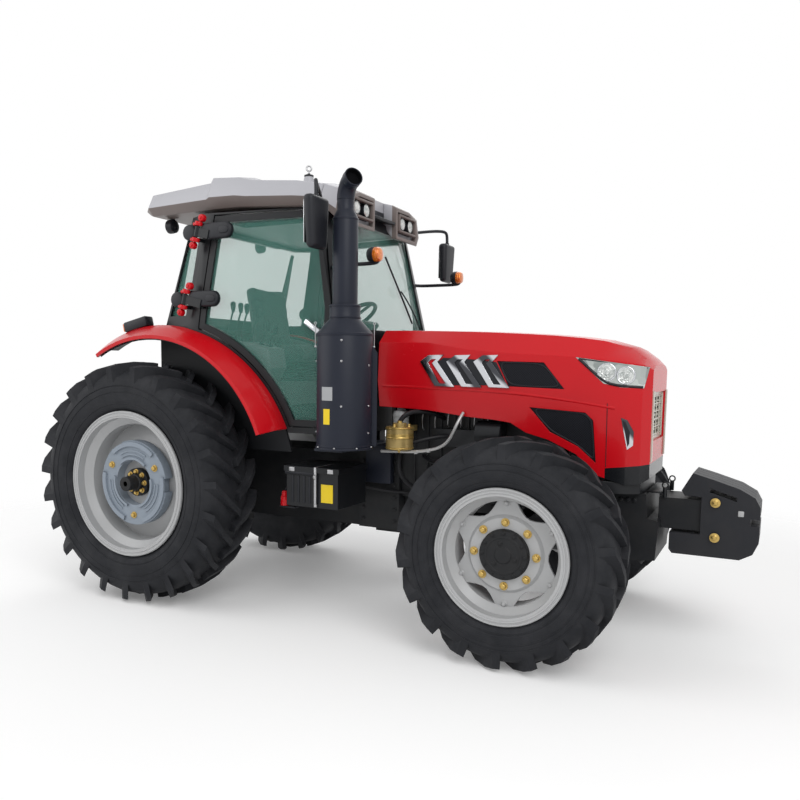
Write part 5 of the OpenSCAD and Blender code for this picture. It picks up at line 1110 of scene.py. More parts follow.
class TRACTOR_OT_exhaust(bpy.types.Operator):
    """Makes the exhaust canister, its pipe, the bent mouth and the shelf below"""

    bl_idname = "tractor.exhaust"
    bl_label = "Exhaust"

    def execute(self, context):
        heading = Vector((math.cos(math.radians(-36)), math.sin(math.radians(-36)), 0))
        bend, bend_r, lean, tube = 2.731, 0.11, math.radians(72), 0.055
        bm = bmesh.new()
        add_turned(bm, [(0.0, 1.195), (0.181, 1.195), (0.184, 1.198), (0.184, 1.206), (0.181, 1.209),
                        (0.176, 1.209), (0.176, 1.914), (0.172, 1.923), (0.101, 2.002), (0.097, 2.008),
                        (0.097, 2.091), (0.093, 2.095), (0.079, 2.095), (0.079, 2.617), (0.076, 2.626),
                        (0.056, 2.668), (0.053, 2.674), (0.053, 2.733), (0.0, 2.733)], STACK, UP, 64)
        ring = bmesh.ops.create_circle(bm, cap_ends=True, segments=32, radius=tube,
                                       matrix=Matrix.Translation(STACK + UP * bend))["verts"]
        parts = joined(ring, "link_edges") + joined(ring, "link_faces")
        bmesh.ops.spin(bm, geom=ring + parts, cent=STACK + UP * bend + heading * bend_r,
                       axis=UP.cross(heading), dvec=(0, 0, 0), angle=lean, steps=12, use_merge=False)
        end = STACK + UP * (bend + bend_r * math.sin(lean)) + heading * bend_r * (1 - math.cos(lean))
        out = UP * math.cos(lean) + heading * math.sin(lean)
        add_turned(bm, [(0.0, -0.004), (0.056, -0.004), (0.058, 0.0), (0.058, 0.043), (0.056, 0.045),
                        (0.052, 0.044), (0.051, 0.007), (0.0, 0.007)], end, out, 40)
        add_block(bm, at(1.50, -1.01, 1.179), at(1.70, -0.2623, 1.195), 0.004)
        add_block(bm, at(1.50, -0.3223, 0.895), at(1.70, -0.2623, 1.190), 0.006)
        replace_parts(put_piece("exhaust_stack", bm, "stack_slate"), "exhaust")

        # Near-black lining in the mouth: real soot and the painted shade of the pipe's depth
        bm = bmesh.new()
        add_turned(bm, [(0.0, 0.0085), (0.050, 0.0085), (0.0505, 0.040), (0.049, 0.040), (0.047, 0.011),
                        (0.0, 0.011)],
                   end, out, 32)
        put_piece("exhaust_soot", bm, "cast_black", "soot")
        return {"FINISHED"}


class TRACTOR_OT_exhaust_trim(bpy.types.Operator):
    """Adds straps, clips and labels to the exhaust"""

    bl_idname = "tractor.exhaust_trim"
    bl_label = "Exhaust trim"

    def execute(self, context):

        def around(turn, r, z):
            """A point round the exhaust, from a turn in degrees."""
            return STACK + Vector((r * math.cos(math.radians(turn)), r * math.sin(math.radians(turn)), z))

        bm = bmesh.new()
        for low, high in ((1.208, 1.224), (1.900, 1.919)):
            add_turned(bm, [(0.1755, low), (0.1785, low + 0.002), (0.1785, high - 0.002), (0.1755, high)],
                       STACK, UP, 64)
        for z in (2.008, 2.079):
            add_turned(bm, [(0.0965, z), (0.1005, z + 0.002), (0.1005, z + 0.012), (0.0965, z + 0.014)],
                       STACK, UP, 48)
        add_turned(bm, [(0.0785, 2.606), (0.0815, 2.609), (0.0815, 2.619), (0.0785, 2.622)], STACK, UP, 48)
        for turn in (24, 30):
            rib = ((0.172, 1.205), (0.206, 1.215), (0.206, 1.80), (0.172, 1.85))
            add_plate(bm, [around(turn, r, z) for r, z in rib], 0.004, (0, -1, 0))
        put_piece("canister_straps", bm, "stack_slate")

        bm = bmesh.new()
        for turn, heights in ((-66.6, (1.468, 1.745, 1.871)), (-2.0, (1.30, 1.47, 1.72)),
                              (-150, (1.30, 1.745))):
            out = around(turn, 1.0, 0) - STACK
            for z in heights:
                add_bolt(bm, around(turn, 0.1755, z), out, 0.0050, 0.006)
        for turn in (27.4, -152.6):
            add_rod(bm, around(turn, 0.184, 1.83), around(turn, 0.184, 1.975), 0.0035, sides=10)
            add_rod(bm, around(turn, 0.172, 1.835), around(turn, 0.190, 1.835), 0.006, sides=12)
            add_torus(bm, around(turn, 0.184, 1.98), around(turn + 90, 1, 0) - STACK, 0.007, 0.0025, 16, 6)
        add_ring_of_bolts(bm, STACK + UP * 1.209, UP, 0.1805, 8, 0.0055, 0.006, math.radians(10))
        put_piece("canister_bolts", bm, "rim_silver", "bare_steel")

        for name, slot, finish_name, first, span, low, high in (
                ("canister_label_grey", "rim_silver", "blank_grey", -112, 27, 1.502, 1.586),
                ("canister_label_yellow", "fittings_zinc", "blank_yellow", -107, 16, 1.355, 1.451)):
            bm = bmesh.new()
            add_turned(bm, [(0.1758, low), (0.1772, low), (0.1772, high), (0.1758, high), (0.1758, low)],
                       STACK, UP, 8, math.radians(span), math.radians(first))
            put_piece(name, bm, slot, finish_name)
        return {"FINISHED"}


class TRACTOR_OT_engine_trim(bpy.types.Operator):
    """Adds bands, pipes, hoses and lines along the engine"""

    bl_idname = "tractor.engine_trim"
    bl_label = "Engine trim"

    def execute(self, context):
        can = at(1.838, -0.47, 0)
        bm = bmesh.new()
        for z, swell in ((1.166, 0.004), (1.236, 0.003), (1.300, 0.004)):
            add_turned(bm, [(0.0915, z), (0.0925 + swell, z + 0.004), (0.0925 + swell, z + 0.010),
                            (0.0915, z + 0.014)], can, UP, 48)
        add_turned(bm, [(0.0915, 1.243), (0.0932, 1.244), (0.0932, 1.268), (0.0915, 1.269)], can, UP, 48)
        add_ring_of_bolts(bm, can + UP * 1.313, UP, 0.062, 3, 0.012, 0.022, math.radians(20))
        add_bolt(bm, can + UP * 1.338, UP, 0.018, 0.018)
        add_rod(bm, can + UP * 1.166, can + UP * 1.140, 0.020, 0.012, sides=18, soft=0.003)
        put_piece("filter_bands", bm, "fittings_zinc", "yellow_zinc")

        bm = bmesh.new()
        path = [(1.70, 1.142), (1.812, 1.147), (1.931, 1.149), (2.026, 1.162), (2.125, 1.184), (2.186, 1.228),
                (2.222, 1.297), (2.250, 1.365)]
        points = [at(x, -0.47 + 0.05 * max(0.0, x - 2.1), z) for x, z in path]
        add_hose(bm, points + [at(2.262, -0.40, 1.42)], 0.0105)
        for x, z in ((1.95, 1.1495), (2.04, 1.1645)):
            add_rod(bm, at(x, -0.47, z), at(x + 0.022, -0.47, z + 0.003), 0.015, sides=6)
        put_piece("silver_pipe", bm, "rim_silver", "hose_silver")

        bm = bmesh.new()
        add_turned(bm, [(0.0, 1.195), (0.046, 1.197), (0.055, 1.206), (0.055, 1.395), (0.048, 1.412),
                        (0.030, 1.420), (0.028, 1.432), (0.0, 1.434)], at(1.772, -0.315, 0), UP, 40)
        for z in (1.23, 1.37):
            add_turned(bm, [(0.0545, z), (0.0575, z + 0.002), (0.0575, z + 0.018), (0.0545, z + 0.020)],
                       at(1.772, -0.315, 0), UP, 40)
        add_rod(bm, at(1.775, -0.27, 1.30), at(1.79, -0.20, 1.30), 0.018, sides=16)
        put_piece("pale_canister", bm, "rim_silver", "blank_grey")

        r = sizes().hose
        bm = bmesh.new()
        for points, width in (
                ([(1.838, -0.47, 1.345), (1.86, -0.46, 1.40), (1.93, -0.38, 1.43), (2.02, -0.28, 1.40),
                  (2.06, -0.20, 1.36)], r),
                ([(1.80, -0.36, 1.16), (1.79, -0.40, 1.06), (1.80, -0.38, 0.93), (1.88, -0.25, 0.86),
                  (1.93, -0.20, 0.84)], r),
                ([(1.95, -0.21, 1.46), (2.05, -0.27, 1.48), (2.20, -0.29, 1.46), (2.36, -0.27, 1.43),
                  (2.44, -0.21, 1.40)], r * 1.3),
                ([(1.92, -0.44, 1.21), (2.02, -0.42, 1.24), (2.10, -0.34, 1.26), (2.14, -0.27, 1.25)],
                 r * 0.8),
                ([(1.90, -0.21, 1.10), (2.00, -0.32, 1.07), (2.16, -0.34, 1.05), (2.32, -0.28, 1.06),
                  (2.40, -0.20, 1.08)], r * 0.8),
                ([(1.95, 0.21, 1.44), (2.05, 0.28, 1.46), (2.25, 0.29, 1.44), (2.40, 0.24, 1.40),
                  (2.44, 0.20, 1.36)], r * 1.3),
                ([(1.85, 0.20, 1.12), (1.95, 0.30, 1.06), (2.15, 0.31, 1.04), (2.35, 0.26, 1.06),
                  (2.42, 0.19, 1.10)], r),
                ([(1.35, -0.45, 0.93), (1.42, -0.36, 0.88), (1.60, -0.30, 0.84), (1.80, -0.26, 0.83),
                  (1.90, -0.20, 0.84)], r * 0.7)):
            add_hose(bm, [at(*point) for point in points], width)
        put_piece("engine_hoses", bm, "black_plastic", "hose_black")

        bm = bmesh.new()
        for i in range(6):
            x = 1.90 + 0.095 * i
            add_hose(bm, [at(x, -0.20, 1.27), at(x, -0.255, 1.30), at(x + 0.01, -0.255, 1.42),
                          at(x + 0.02, -0.21, 1.53), at(x + 0.02, -0.14, 1.56)], 0.0045, 8)
            add_rod(bm, at(x + 0.02, -0.155, 1.545), at(x + 0.02, -0.125, 1.575), 0.012, sides=6)
            for y in (-0.08, 0.08):
                add_bolt(bm, at(x, y, 1.69), UP, 0.010, 0.014)
        put_piece("fuel_lines", bm, "link_steel", "bare_steel")

        bm = bmesh.new()
        for sign in SIDES.values():
            out = Vector((0, sign, 0))
            for i in range(6):
                add_bolt(bm, at(1.455, sign * 0.262, 0.62 + 0.085 * i), out, 0.012, 0.012)
                add_bolt(bm, at(1.705, sign * 0.262, 0.62 + 0.085 * i), out, 0.012, 0.012)
            for i in range(7):
                add_bolt(bm, at(-0.26 + 0.09 * i, sign * 0.29, 1.17), out, 0.012, 0.012)
            add_ring_of_bolts(bm, at(0, sign * 0.854, REAR_HUB.z), -out, 0.122, 10, 0.011, 0.012,
                              math.radians(18))
        put_piece("case_bolts", bm, "cast_black")

        bm = bmesh.new()
        add_block(bm, at(1.391, -0.8385, 0.800), at(1.409, -0.8345, 1.0475), 0.0015)
        add_block(bm, at(1.389, -0.8365, 0.782), at(1.411, -0.8205, 0.802), 0.003)
        add_block(bm, at(1.391, -0.8385, 1.0445), at(1.409, -0.60, 1.0485), 0.0015)
        add_torus(bm, at(1.40, -0.843, 0.985), (1, 0, 0), 0.014, 0.003, 20, 8)
        for x in (1.215, 1.515):
            add_block(bm, at(x - 0.022, -0.837, 1.012), at(x + 0.022, -0.8335, 1.040), 0.002)
        put_piece("battery_strap", bm, "rim_silver", "bare_steel")

        bm = bmesh.new()
        add_block(bm, at(1.437, -0.8222, 0.815), at(1.528, -0.8198, 0.937), 0.0008)
        put_piece("battery_label", bm, "fittings_zinc", "blank_yellow")

        bm = bmesh.new()
        for i in range(4):
            x = 1.205 + 0.045 * i
            add_block(bm, at(x, -0.8245, 0.80), at(x + 0.018, -0.818, 0.985), 0.003)
        add_rod(bm, at(1.16, -0.826, 1.002), at(1.39, -0.826, 1.002), 0.012, sides=16, soft=0.003)
        add_block(bm, at(1.035, -0.725, 0.735), at(1.166, -0.665, 0.747), 0.003)
        add_hose(bm, [at(1.07, -0.70, 0.84), at(1.06, -0.66, 0.88), at(1.04, -0.52, 0.86),
                      at(1.06, -0.30, 0.84), at(1.08, -0.22, 0.84)], 0.009)
        put_piece("battery_ribs", bm, "black_plastic")

        bm = bmesh.new()
        add_turned(bm, [(0.0, 0.850), (0.016, 0.849), (0.022, 0.842), (0.024, 0.815), (0.030, 0.810),
                        (0.031, 0.748), (0.0, 0.747)], at(1.07, -0.70, 0), UP, 24)
        put_piece("battery_switch", bm, "red_paint", "gloss_red")
        return {"FINISHED"}


class TRACTOR_OT_cab_trim(bpy.types.Operator):
    """Adds hinge covers, handles, mirrors and wiper to the cab"""

    bl_idname = "tractor.cab_trim"
    bl_label = "Cab trim"

    def execute(self, context):
        s = sizes()
        lean = Vector((0.25201, 0, 0.96773))
        mirror_arms = bmesh.new()
        for side, sign in SIDES.items():
            out = Vector((0, sign, 0))
            pads, posts, lobes = bmesh.new(), bmesh.new(), bmesh.new()
            for x, z in ((0.328, 2.171), (0.447, 2.628)):
                hinge = at(x, sign * 0.852, z)
                add_slab(pads, stadium(s.hinge_pad_len, s.hinge_pad_high), 0.034,
                         side_place(x + 0.022, sign * 0.822, z, sign), 0.016)
                add_slab(pads, stadium(s.hinge_pad_len * 0.3, s.hinge_pad_high * 0.42), 0.008,
                         side_place(x + 0.19, sign * 0.854, z, sign), 0.004)
                add_slab(posts, stadium(0.115, s.hinge_pad_high), 0.030,
                         side_place(x - 0.137, sign * 0.822, z, sign), 0.014)
                for way in (-1, 1):
                    start = hinge + lean * way * 0.041
                    add_rod(lobes, start, start + lean * way * 0.030, 0.029, 0.027, sides=24, soft=0.006)
                    ear = start + lean * way * 0.052 + Vector((0.018 * way, 0, 0))
                    add_rod(lobes, ear - out * 0.022, ear + out * 0.014, 0.027, 0.024, sides=24, soft=0.006)
                    add_rod(lobes, ear + out * 0.012, ear + out * 0.022, 0.012, 0.010, sides=6)
                    wing = start + lean * way * 0.012 - Vector((0.030, 0, 0))
                    add_rod(lobes, wing - out * 0.010, wing + out * 0.016, 0.013, 0.011, sides=18, soft=0.004)
            put_piece(f"{side}_hinge_covers", pads, "black_plastic", body=f"{side}_door")
            put_piece(f"{side}_post_covers", posts, "black_plastic")
            put_piece(f"{side}_hinge_lobes", lobes, "red_paint", "gloss_red")

            tilt = Matrix.Rotation(math.radians(35), 4, "Y")
            turn = Matrix.Translation(at(1.425, sign * 0.715, 1.90)) @ tilt
            bm = bmesh.new()
            add_block(bm, Vector((-0.192, sign * 0.0385, -0.017)), Vector((-0.012, sign * 0.0475, 0.017)),
                      0.004)
            add_block(bm, Vector((-0.193, sign * 0.014, -0.0165)), Vector((-0.183, sign * 0.044, 0.0165)),
                      0.003)
            bmesh.ops.transform(bm, matrix=turn, verts=bm.verts)
            put_piece(f"{side}_door_handle", bm, "chrome", "bright_chrome", body=f"{side}_door")

            outer, inner = sign * 1.1425, sign * 0.9275
            bm = bmesh.new()
            shell = bmesh.ops.create_cube(bm, size=1.0)["verts"]
            low_end, top_end = (0.060, 1.029, 0.178, 2.424), (0.075, 1.035, 0.215, 2.738)
            for v in shell:
                depth, mid, width, z = low_end if v.co.z < 0 else top_end
                v.co = at(1.5275 + v.co.x * depth, sign * (mid + v.co.y * width), z)
            bmesh.ops.recalc_face_normals(bm, faces=bm.faces)
            bevel(bm, bm.edges[:], 0.029, 6)
            put_piece(f"{side}_mirror_shell", bm, "black_plastic", angle=60.0)
            bm = bmesh.new()
            add_block(bm, at(1.4885, inner + sign * 0.024, 2.455), at(1.4925, outer - sign * 0.024, 2.71),
                      0.0015)
            put_piece(f"{side}_mirror_glass", bm, "chrome", "mirror_glass")
            arm = ((1.34, 0.68, 2.79), (1.38, 0.74, 2.80), (1.44, 0.88, 2.83), (1.50, 1.00, 2.845),
                   (1.526, 1.036, 2.835), (1.528, 1.036, 2.79), (1.528, 1.036, 2.715))
            add_hose(mirror_arms, on_side(arm, sign), 0.0125, 16)
            add_rod(mirror_arms, at(1.528, sign * 1.036, 2.728), at(1.528, sign * 1.036, 2.752), 0.020, 0.016,
                    sides=20, soft=0.003)

        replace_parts(put_piece("mirror_arms", mirror_arms, "black_plastic"), "mirrors")

        bm = bmesh.new()
        blade = [screen_spot(0.30 - 0.05 * i, 2.04 + 0.095 * i, 0.012) for i in range(6)]
        add_hose(bm, blade, 0.007, 8)
        arm = ((0.46, 1.985, 0.02), (0.40, 2.05, 0.03), (0.30, 2.18, 0.03), (0.185, 2.27, 0.022))
        add_hose(bm, [screen_spot(*spot) for spot in arm], 0.006, 8)
        put_piece("screen_wiper", bm, "black_plastic")
        return {"FINISHED"}


class TRACTOR_OT_roof_trim(bpy.types.Operator):
    """Adds pod frames, lamps and their arms, visor and beacon"""

    bl_idname = "tractor.roof_trim"
    bl_label = "Roof trim and lamps"

    def execute(self, context):
        arms, backs = bmesh.new(), bmesh.new()
        for side, sign in SIDES.items():
            bm = bmesh.new()
            low, high = at(1.452, sign * 0.206, 2.720), at(1.490, sign * 0.502, 2.852)
            rim = 0.018
            for z0, z1 in ((low.z, low.z + rim), (high.z - rim, high.z)):
                add_block(bm, (low.x, low.y, z0), (high.x, high.y, z1), 0.008)
            for y0, y1 in ((low.y, low.y + sign * rim), (high.y - sign * rim, high.y)):
                add_block(bm, (low.x, y0, low.z), (high.x, y1, high.z), 0.008)
            put_piece(f"{side}_pod_frame", bm, "roof_grey", "pod_brown")
            add_block(backs, at(1.4282, sign * 0.215, 2.725), at(1.432, sign * 0.495, 2.847), 0.001)

            lenses, bezels = bmesh.new(), bmesh.new()
            for y in (0.2875, 0.4225):
                lamp = at(1.428, sign * y, 2.788)
                add_turned(lenses, [(0.043, 0.036), (0.0425, 0.043), (0.034, 0.049), (0.018, 0.0525),
                                    (0.0, 0.0535)], lamp, AHEAD, 32)
                add_turned(bezels, [(0.0425, 0.0), (0.0475, 0.0), (0.0475, 0.042), (0.0455, 0.047),
                                    (0.0425, 0.044), (0.0425, 0.0)], lamp, AHEAD, 32)
            put_piece(f"{side}_work_lenses", lenses, "lamp_clear", "clear_lens")
            put_piece(f"{side}_work_bezels", bezels, "black_plastic")

            signal = at(1.76, sign * 0.7, 2.42)
            bm = bmesh.new()
            add_turned(bm, [(0.0, -0.056), (0.020, -0.054), (0.040, -0.044), (0.049, -0.024), (0.0495, 0.0),
                            (0.0465, 0.0)], signal, AHEAD, 40)
            put_piece(f"{side}_signal_cup", bm, "black_plastic")
            bm = bmesh.new()
            add_turned(bm, [(0.0465, -0.002), (0.0480, 0.002), (0.0475, 0.020), (0.044, 0.024), (0.0, 0.024)],
                       signal, AHEAD, 40)
            put_piece(f"{side}_signal_ring", bm, "lamp_lens", "amber_lens")
            bm = bmesh.new()
            add_turned(bm, [(0.044, 0.022), (0.0445, 0.030), (0.038, 0.038), (0.020, 0.043), (0.0, 0.044)],
                       signal, AHEAD, 40)
            put_piece(f"{side}_signal_lens", bm, "lamp_lens", "amber_lens")
            arm = ((1.40, 0.58, 2.367), (1.42, 0.66, 2.367), (1.45, 0.70, 2.367), (1.60, 0.70, 2.367),
                   (1.73, 0.70, 2.366), (1.785, 0.70, 2.372), (1.78, 0.70, 2.395), (1.762, 0.70, 2.40))
            add_hose(arms, on_side(arm, sign), 0.0125, 16)

            place = Matrix.Translation(FENDER_AXIS) @ Matrix.Rotation(math.radians(-13), 4, "Y")
            bm = bmesh.new()
            add_block(bm, (-0.113, sign * 0.72, 1.1125), (0.115, sign * 0.81, 1.190), 0.016)
            bmesh.ops.transform(bm, matrix=place, verts=bm.verts)
            put_piece(f"{side}_tail_housing", bm, "black_plastic")
            for name, slot, finish_name, low_y, high_y in (
                    ("tail_red", "red_paint", "red_lens", 0.727, 0.764),
                    ("tail_amber", "lamp_lens", "amber_lens", 0.768, 0.803)):
                bm = bmesh.new()
                add_block(bm, (-0.122, sign * low_y, 1.122), (-0.108, sign * high_y, 1.181), 0.005)
                bmesh.ops.transform(bm, matrix=place, verts=bm.verts)
                put_piece(f"{side}_{name}", bm, slot, finish_name)

            bm = bmesh.new()
            lamp = at(-0.03, sign * 0.56, 2.742)
            add_turned(bm, [(0.0, 0.030), (0.030, 0.028), (0.047, 0.016), (0.051, -0.012), (0.051, -0.034),
                            (0.046, -0.034)], lamp, AHEAD, 32)
            add_block(bm, at(-0.045, sign * 0.56 - 0.014, 2.775), at(-0.020, sign * 0.56 + 0.014, 2.840),
                      0.004)
            put_piece(f"{side}_rear_lamp_shell", bm, "black_plastic")
            bm = bmesh.new()
            add_turned(bm, [(0.0465, -0.030), (0.046, -0.034), (0.030, -0.040), (0.0, -0.042)],
                       lamp, AHEAD, 32)
            put_piece(f"{side}_rear_lamp_lens", bm, "lamp_clear", "clear_lens")

        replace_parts(put_piece("signal_arms", arms, "black_plastic"), "lamps")
        put_piece("pod_backs", backs, "black_plastic")

        bm = bmesh.new()
        add_block(bm, at(1.355, -0.166, 2.770), at(1.475, 0.166, 2.792), 0.008,
                  Matrix.Rotation(math.radians(10), 4, "Y"))
        add_block(bm, at(1.362, -0.166, 2.760), at(1.374, 0.166, 2.855), 0.004)
        put_piece("screen_visor", bm, "black_plastic")

        foot = BEACON + UP * BEACON_FOOT
        bm = bmesh.new()
        add_turned(bm, [(0.029, -0.010), (0.033, -0.008), (0.033, 0.004), (0.022, 0.008), (0.012, 0.009),
                        (0.010, 0.016), (0.0, 0.016)], foot, UP, 28)
        put_piece("beacon_collar", bm, "black_plastic")
        bm = bmesh.new()
        add_rod(bm, foot + UP * 0.014, foot + UP * 0.034, 0.007, sides=16)
        add_torus(bm, foot + UP * 0.050, (0.5, -0.87, 0), 0.017, 0.006, 28, 10)
        put_piece("beacon_eye", bm, "chrome", "bare_steel")
        return {"FINISHED"}


class TRACTOR_OT_cab_inside(bpy.types.Operator):
    """Adds consoles, levers, gauges, pedals and lining inside the cab"""

    bl_idname = "tractor.cab_inside"
    bl_label = "Cab inside"

    def execute(self, context):
        for side, sign in SIDES.items():
            bm = bmesh.new()
            add_slab(bm, [(0.0, 0.0), (0.56, 0.0), (0.62, 0.10), (0.60, 0.235), (0.40, 0.285), (0.10, 0.30),
                          (0.0, 0.26)], 0.20, side_place(0.28, sign * 0.43, 1.597, sign), 0.02)
            put_piece(f"{side}_console", bm, "trim_grey")

        bm = bmesh.new()
        for x, y, z, tip in ((0.42, -0.50, 1.885, 2.17), (0.49, -0.50, 1.88, 2.16),
                             (0.56, -0.52, 1.875, 2.15), (0.64, -0.50, 1.87, 2.12), (0.76, -0.54, 1.85, 2.02),
                             (0.80, -0.50, 1.85, 2.0)):
            add_hose(bm, [at(x, y, z), at(x + 0.01, y, z + 0.08),
                          at(x + 0.03, y + 0.01, (z + tip) / 2 + 0.03), at(x + 0.05, y + 0.01, tip - 0.06)],
                          0.0065, 8)
            add_turned(bm, [(0.0, -0.068), (0.011, -0.066), (0.015, -0.05), (0.020, -0.015), (0.018, 0.0),
                            (0.009, 0.008), (0.0, 0.009)], at(x + 0.05, y + 0.01, tip), UP, 18)
            add_turned(bm, [(0.030, -0.004), (0.028, 0.010), (0.018, 0.018), (0.010, 0.034), (0.0, 0.035)],
                       at(x, y, z), UP, 18)
        put_piece("lever_set", bm, "black_plastic")

        bm = bmesh.new()
        tilt = Matrix.Translation(at(1.30, 0, 1.985)) @ Matrix.Rotation(math.radians(-52), 4, "Y")
        add_block(bm, (-0.07, -0.165, -0.02), (0.07, 0.165, 0.03), 0.018)
        for y, r in ((-0.085, 0.048), (0.085, 0.048), (0.0, 0.034)):
            add_turned(bm, [(r * 0.9, 0.028), (r * 0.9, 0.036), (r, 0.036), (r, 0.028)],
                       Vector((0.0, y, 0)), UP, 28)
        bmesh.ops.transform(bm, matrix=tilt, verts=bm.verts)
        put_piece("gauge_hood", bm, "black_plastic")
        bm = bmesh.new()
        for y, r in ((-0.085, 0.044), (0.085, 0.044), (0.0, 0.031)):
            add_turned(bm, [(r, 0.0295), (r * 0.94, 0.032), (0.0, 0.032)], Vector((0.0, y, 0)), UP, 28)
        bmesh.ops.transform(bm, matrix=tilt, verts=bm.verts)
        put_piece("gauge_faces", bm, "rim_silver", "blank_grey")

        bm = bmesh.new()
        for y, x in ((-0.16, 1.20), (-0.05, 1.20), (0.14, 1.20)):
            add_hose(bm, [at(x + 0.16, y, 1.55), at(x + 0.08, y, 1.44), at(x, y, 1.40)], 0.009, 8)
            add_block(bm, at(x - 0.045, y - 0.04, 1.392), at(x + 0.04, y + 0.04, 1.404), 0.004,
                      Matrix.Rotation(math.radians(-30), 4, "Y"))
        put_piece("pedals", bm, "black_plastic")

        bm = bmesh.new()
        add_block(bm, at(0.345, -0.505, 2.774), at(1.215, 0.505, 2.786), 0.004)
        for y in (-0.28, 0.28):
            add_torus(bm, at(1.10, y, 2.773), UP, 0.045, 0.008, 24, 8)
        put_piece("roof_lining", bm, "trim_grey", "pale_lining")
        return {"FINISHED"}


class TRACTOR_OT_fender_trim(bpy.types.Operator):
    """Adds the dark lining under both fenders"""

    bl_idname = "tractor.fender_trim"
    bl_label = "Fender lining"

    def execute(self, context):
        axis = FENDER_AXIS
        steps, first, last = 16, 46.0, 119.0
        for side, sign in SIDES.items():
            rings = []
            for i in range(steps + 1):
                turn = math.radians(first + (last - first) * i / steps)
                way = Vector((math.cos(turn), 0, math.sin(turn)))
                under, _ = skin("fenders", axis + Vector((0, sign * 0.76, 0)), way)
                r = (under - axis).dot(way)
                section = [(0.72, r - 0.032), (0.72, r - 0.003), (0.80, r - 0.003), (0.922, r - 0.082),
                           (0.922, r - 0.092), (0.80, r - 0.032)]
                rings.append([axis + way * reach + Vector((0, sign * y, 0)) for y, reach in section])
            bm = bmesh.new()
            add_loft(bm, rings)
            put_piece(f"{side}_fender_lining", bm, "black_plastic")
        return {"FINISHED"}


class TRACTOR_OT_side_trim(bpy.types.Operator):
    """Adds treads, rail, tank straps and cap on the left"""

    bl_idname = "tractor.side_trim"
    bl_label = "Left side trim"

    def execute(self, context):
        bm = bmesh.new()
        for top in (0.546, 0.836, 1.126):
            for i in range(5):
                y = 0.815 + 0.038 * i
                add_block(bm, at(1.195, y, top - 0.002), at(1.505, y + 0.012, top + 0.006), 0.002)
        put_piece("step_treads", bm, "link_steel", "bare_steel")

        bm = bmesh.new()
        add_hose(bm, [at(1.50, 0.735, 1.42), at(1.515, 0.80, 1.43), at(1.515, 0.812, 1.50),
                      at(1.515, 0.812, 1.70), at(1.515, 0.812, 1.90), at(1.515, 0.80, 1.965),
                      at(1.50, 0.735, 1.975)], 0.0125, 16)
        put_piece("left_rail", bm, "black_paint", "satin_black")

        bm = bmesh.new()
        for x in (1.0, 1.12):
            add_block(bm, at(x - 0.018, 0.7785, 0.66), at(x + 0.018, 0.783, 1.10), 0.0015)
            add_bolt(bm, at(x, 0.783, 0.88), (0, 1, 0), 0.010, 0.012)
        put_piece("tank_straps", bm, "link_steel", "bare_steel")

        bm = bmesh.new()
        cap = at(1.34, 0.67, 1.12)
        add_turned(bm, [(0.056, 0.004), (0.059, 0.008), (0.059, 0.036), (0.054, 0.043), (0.020, 0.044),
                        (0.016, 0.050), (0.0, 0.051)], cap, UP, 32)
        for i in range(16):
            spot = spot_round(cap, UP, 0.0585, FULL_TURN * i / 16)
            add_rod(bm, spot + UP * 0.010, spot + UP * 0.034, 0.004, sides=8)
        put_piece("tank_cap", bm, "black_plastic")
        return {"FINISHED"}


